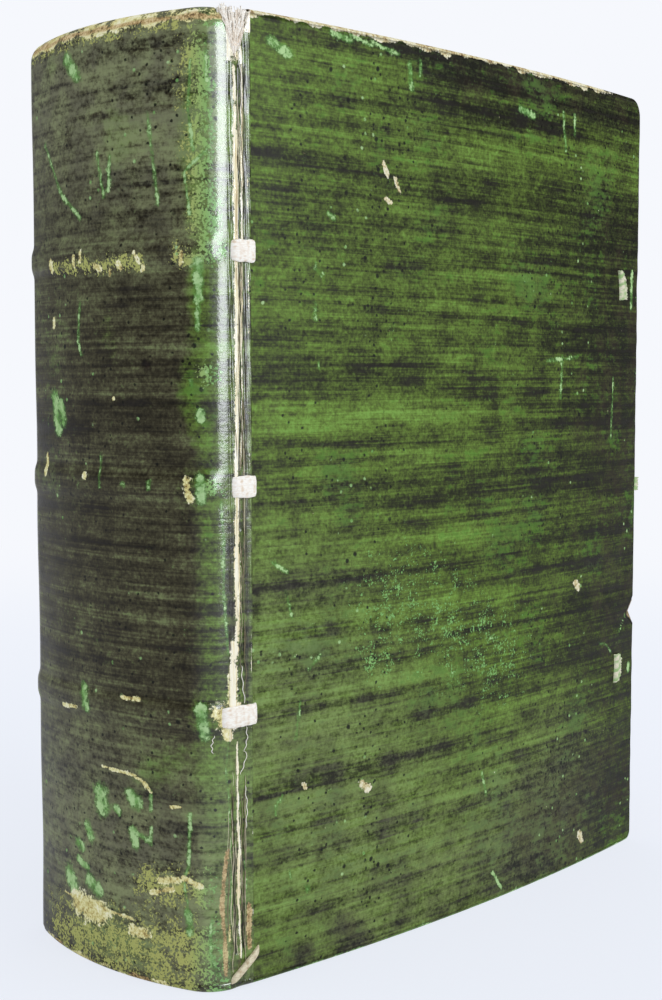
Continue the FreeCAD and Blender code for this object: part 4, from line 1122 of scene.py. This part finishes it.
def make_stage():
    """A pale floor that shows its own colour to the eye and keeps a soft share of the shadow.

    Its colour goes over to the wall's with the distance from the book, so that no edge shows."""
    edge = 6.0
    mesh = bpy.data.meshes.new("floor")
    mesh.from_pydata([(-edge, -edge, 0), (edge, -edge, 0), (edge, edge, 0), (-edge, edge, 0)], [], [(0, 1, 2, 3)])
    floor = bpy.data.objects.new("floor", mesh)
    bpy.context.scene.collection.objects.link(floor)
    f = Finish("pale_floor")
    away = f.span(f.add("VectorMath", {0: f.place}, "Value", operation="LENGTH"), 0.15, 0.9)
    matte = f.finish(f.blend(f.times(f.noise(3.0), 0.06), ink(240, 243, 250), ink(234, 238, 247)), 0.9,
                     Specular_IOR_Level=0.1)
    glow = f.add("Emission", {"Color": f.blend(away, ink(240, 244, 253), WALL_COLOUR)})
    share = f.times(f.rays("Camera", "Glossy", "Transmission"), f.span(away, 0.0, 1.0, 0.8, 1.0))
    f.feed(f.nodes["Material Output"].inputs["Surface"], f.mixed(share, f.shader.outputs[0], glow))
    matte.cycles.emission_sampling = "NONE"
    mesh.materials.append(matte)


def make_world():
    """Pale walls all round: near white to the eye, even on the book, and in its gloss bright only behind it.

    The wall that a glossy surface shows goes from dim to bright as its direction turns from the room,
    where the camera stands, to the pale wall behind the book."""
    world = bpy.data.worlds.new("pale_room")
    bpy.context.scene.world = world
    world.use_nodes = True
    world.cycles.sampling_method = "NONE"
    room = Nodes(world.node_tree)
    room.nodes.remove(room.nodes["Background"])

    def wall(colour, strength):
        """A wall of one colour."""
        return room.add("Background", {"Color": colour, "Strength": strength})

    way = room.add("TexCoord", {}, "Generated")
    facing = room.add("VectorMath", {0: way, 1: (0.25, 0.95, 0.1)}, "Value", operation="DOT_PRODUCT")
    turn = room.add("MapRange", {0: facing, 1: 0.15, 2: 0.95})
    gloss = room.mixed(turn, wall((0.85, 0.92, 1.0, 1.0), 0.07), wall(WALL_COLOUR, 0.4))
    lit = room.mixed(room.rays("Glossy"), wall((0.93, 0.96, 1.0, 1.0), 0.86), gloss)
    seen = room.mixed(room.rays("Camera", "Transmission"), lit, wall(WALL_COLOUR, 1.0))
    room.feed(room.nodes["World Output"].inputs["Surface"], seen)


def stand(name, data, place, right, up, back):
    """An object at a place, turned so that its own X, Y and Z lie along right, up and back."""
    thing = bpy.data.objects.new(name, data)
    bpy.context.scene.collection.objects.link(thing)
    turn = np.eye(4)
    turn[:3, 0], turn[:3, 1], turn[:3, 2], turn[:3, 3] = right, up, back, place
    thing.matrix_world = Matrix(turn.tolist())
    return thing


def make_lamp(name, place, target, size, power, colour):
    """A soft window: an area lamp at place that faces target."""
    lamp = bpy.data.lights.new(name, "AREA")
    lamp.shape, lamp.size, lamp.size_y = "RECTANGLE", size[0], size[1]
    lamp.energy, lamp.color = power, colour
    back = np.subtract(place, target)
    back /= np.linalg.norm(back)
    right = np.cross((0, 0, 1), back)
    right /= np.linalg.norm(right)
    return stand(name, lamp, place, right, np.cross(back, right), back)


EYE = (-0.3055, -0.28265, 0.1361)
EYE_YAW, EYE_PITCH = 43.71, 4.486
SENSOR, LENS = 36.0, 56.21


def make_camera():
    """The photographer's place: near the front joint, a little above the middle of the book."""
    yaw, pitch = math.radians(EYE_YAW), math.radians(EYE_PITCH)
    ahead = np.array([math.cos(yaw) * math.cos(pitch), math.sin(yaw) * math.cos(pitch), -math.sin(pitch)])
    right = np.array([math.sin(yaw), -math.cos(yaw), 0.0])
    data = bpy.data.cameras.new("camera")
    data.sensor_width, data.lens = SENSOR, LENS
    bpy.context.scene.camera = stand("camera", data, EYE, right, np.cross(right, ahead), -ahead)


make_stage()
make_world()
SHOULDER = (-0.07, -0.03, 0.16)
window = make_lamp("window", (-0.03, -1.22, 0.42), SHOULDER, (0.58, 0.74), 25.0, (0.92, 0.96, 1.0))
window.visible_diffuse = False
fanlight = make_lamp("fanlight", (-0.22, -1.18, 0.47), SHOULDER, (1.15, 0.40), 5.5, (0.88, 0.94, 1.0))
fanlight.visible_diffuse = False
daylight = make_lamp("daylight", (0.55, -1.6, 1.1), (0.0, 0.0, 0.1), (1.4, 1.4), 10.0, (1.0, 0.99, 0.97))
daylight.visible_glossy = False
make_camera()
bpy.context.scene.view_settings.view_transform = "Standard"
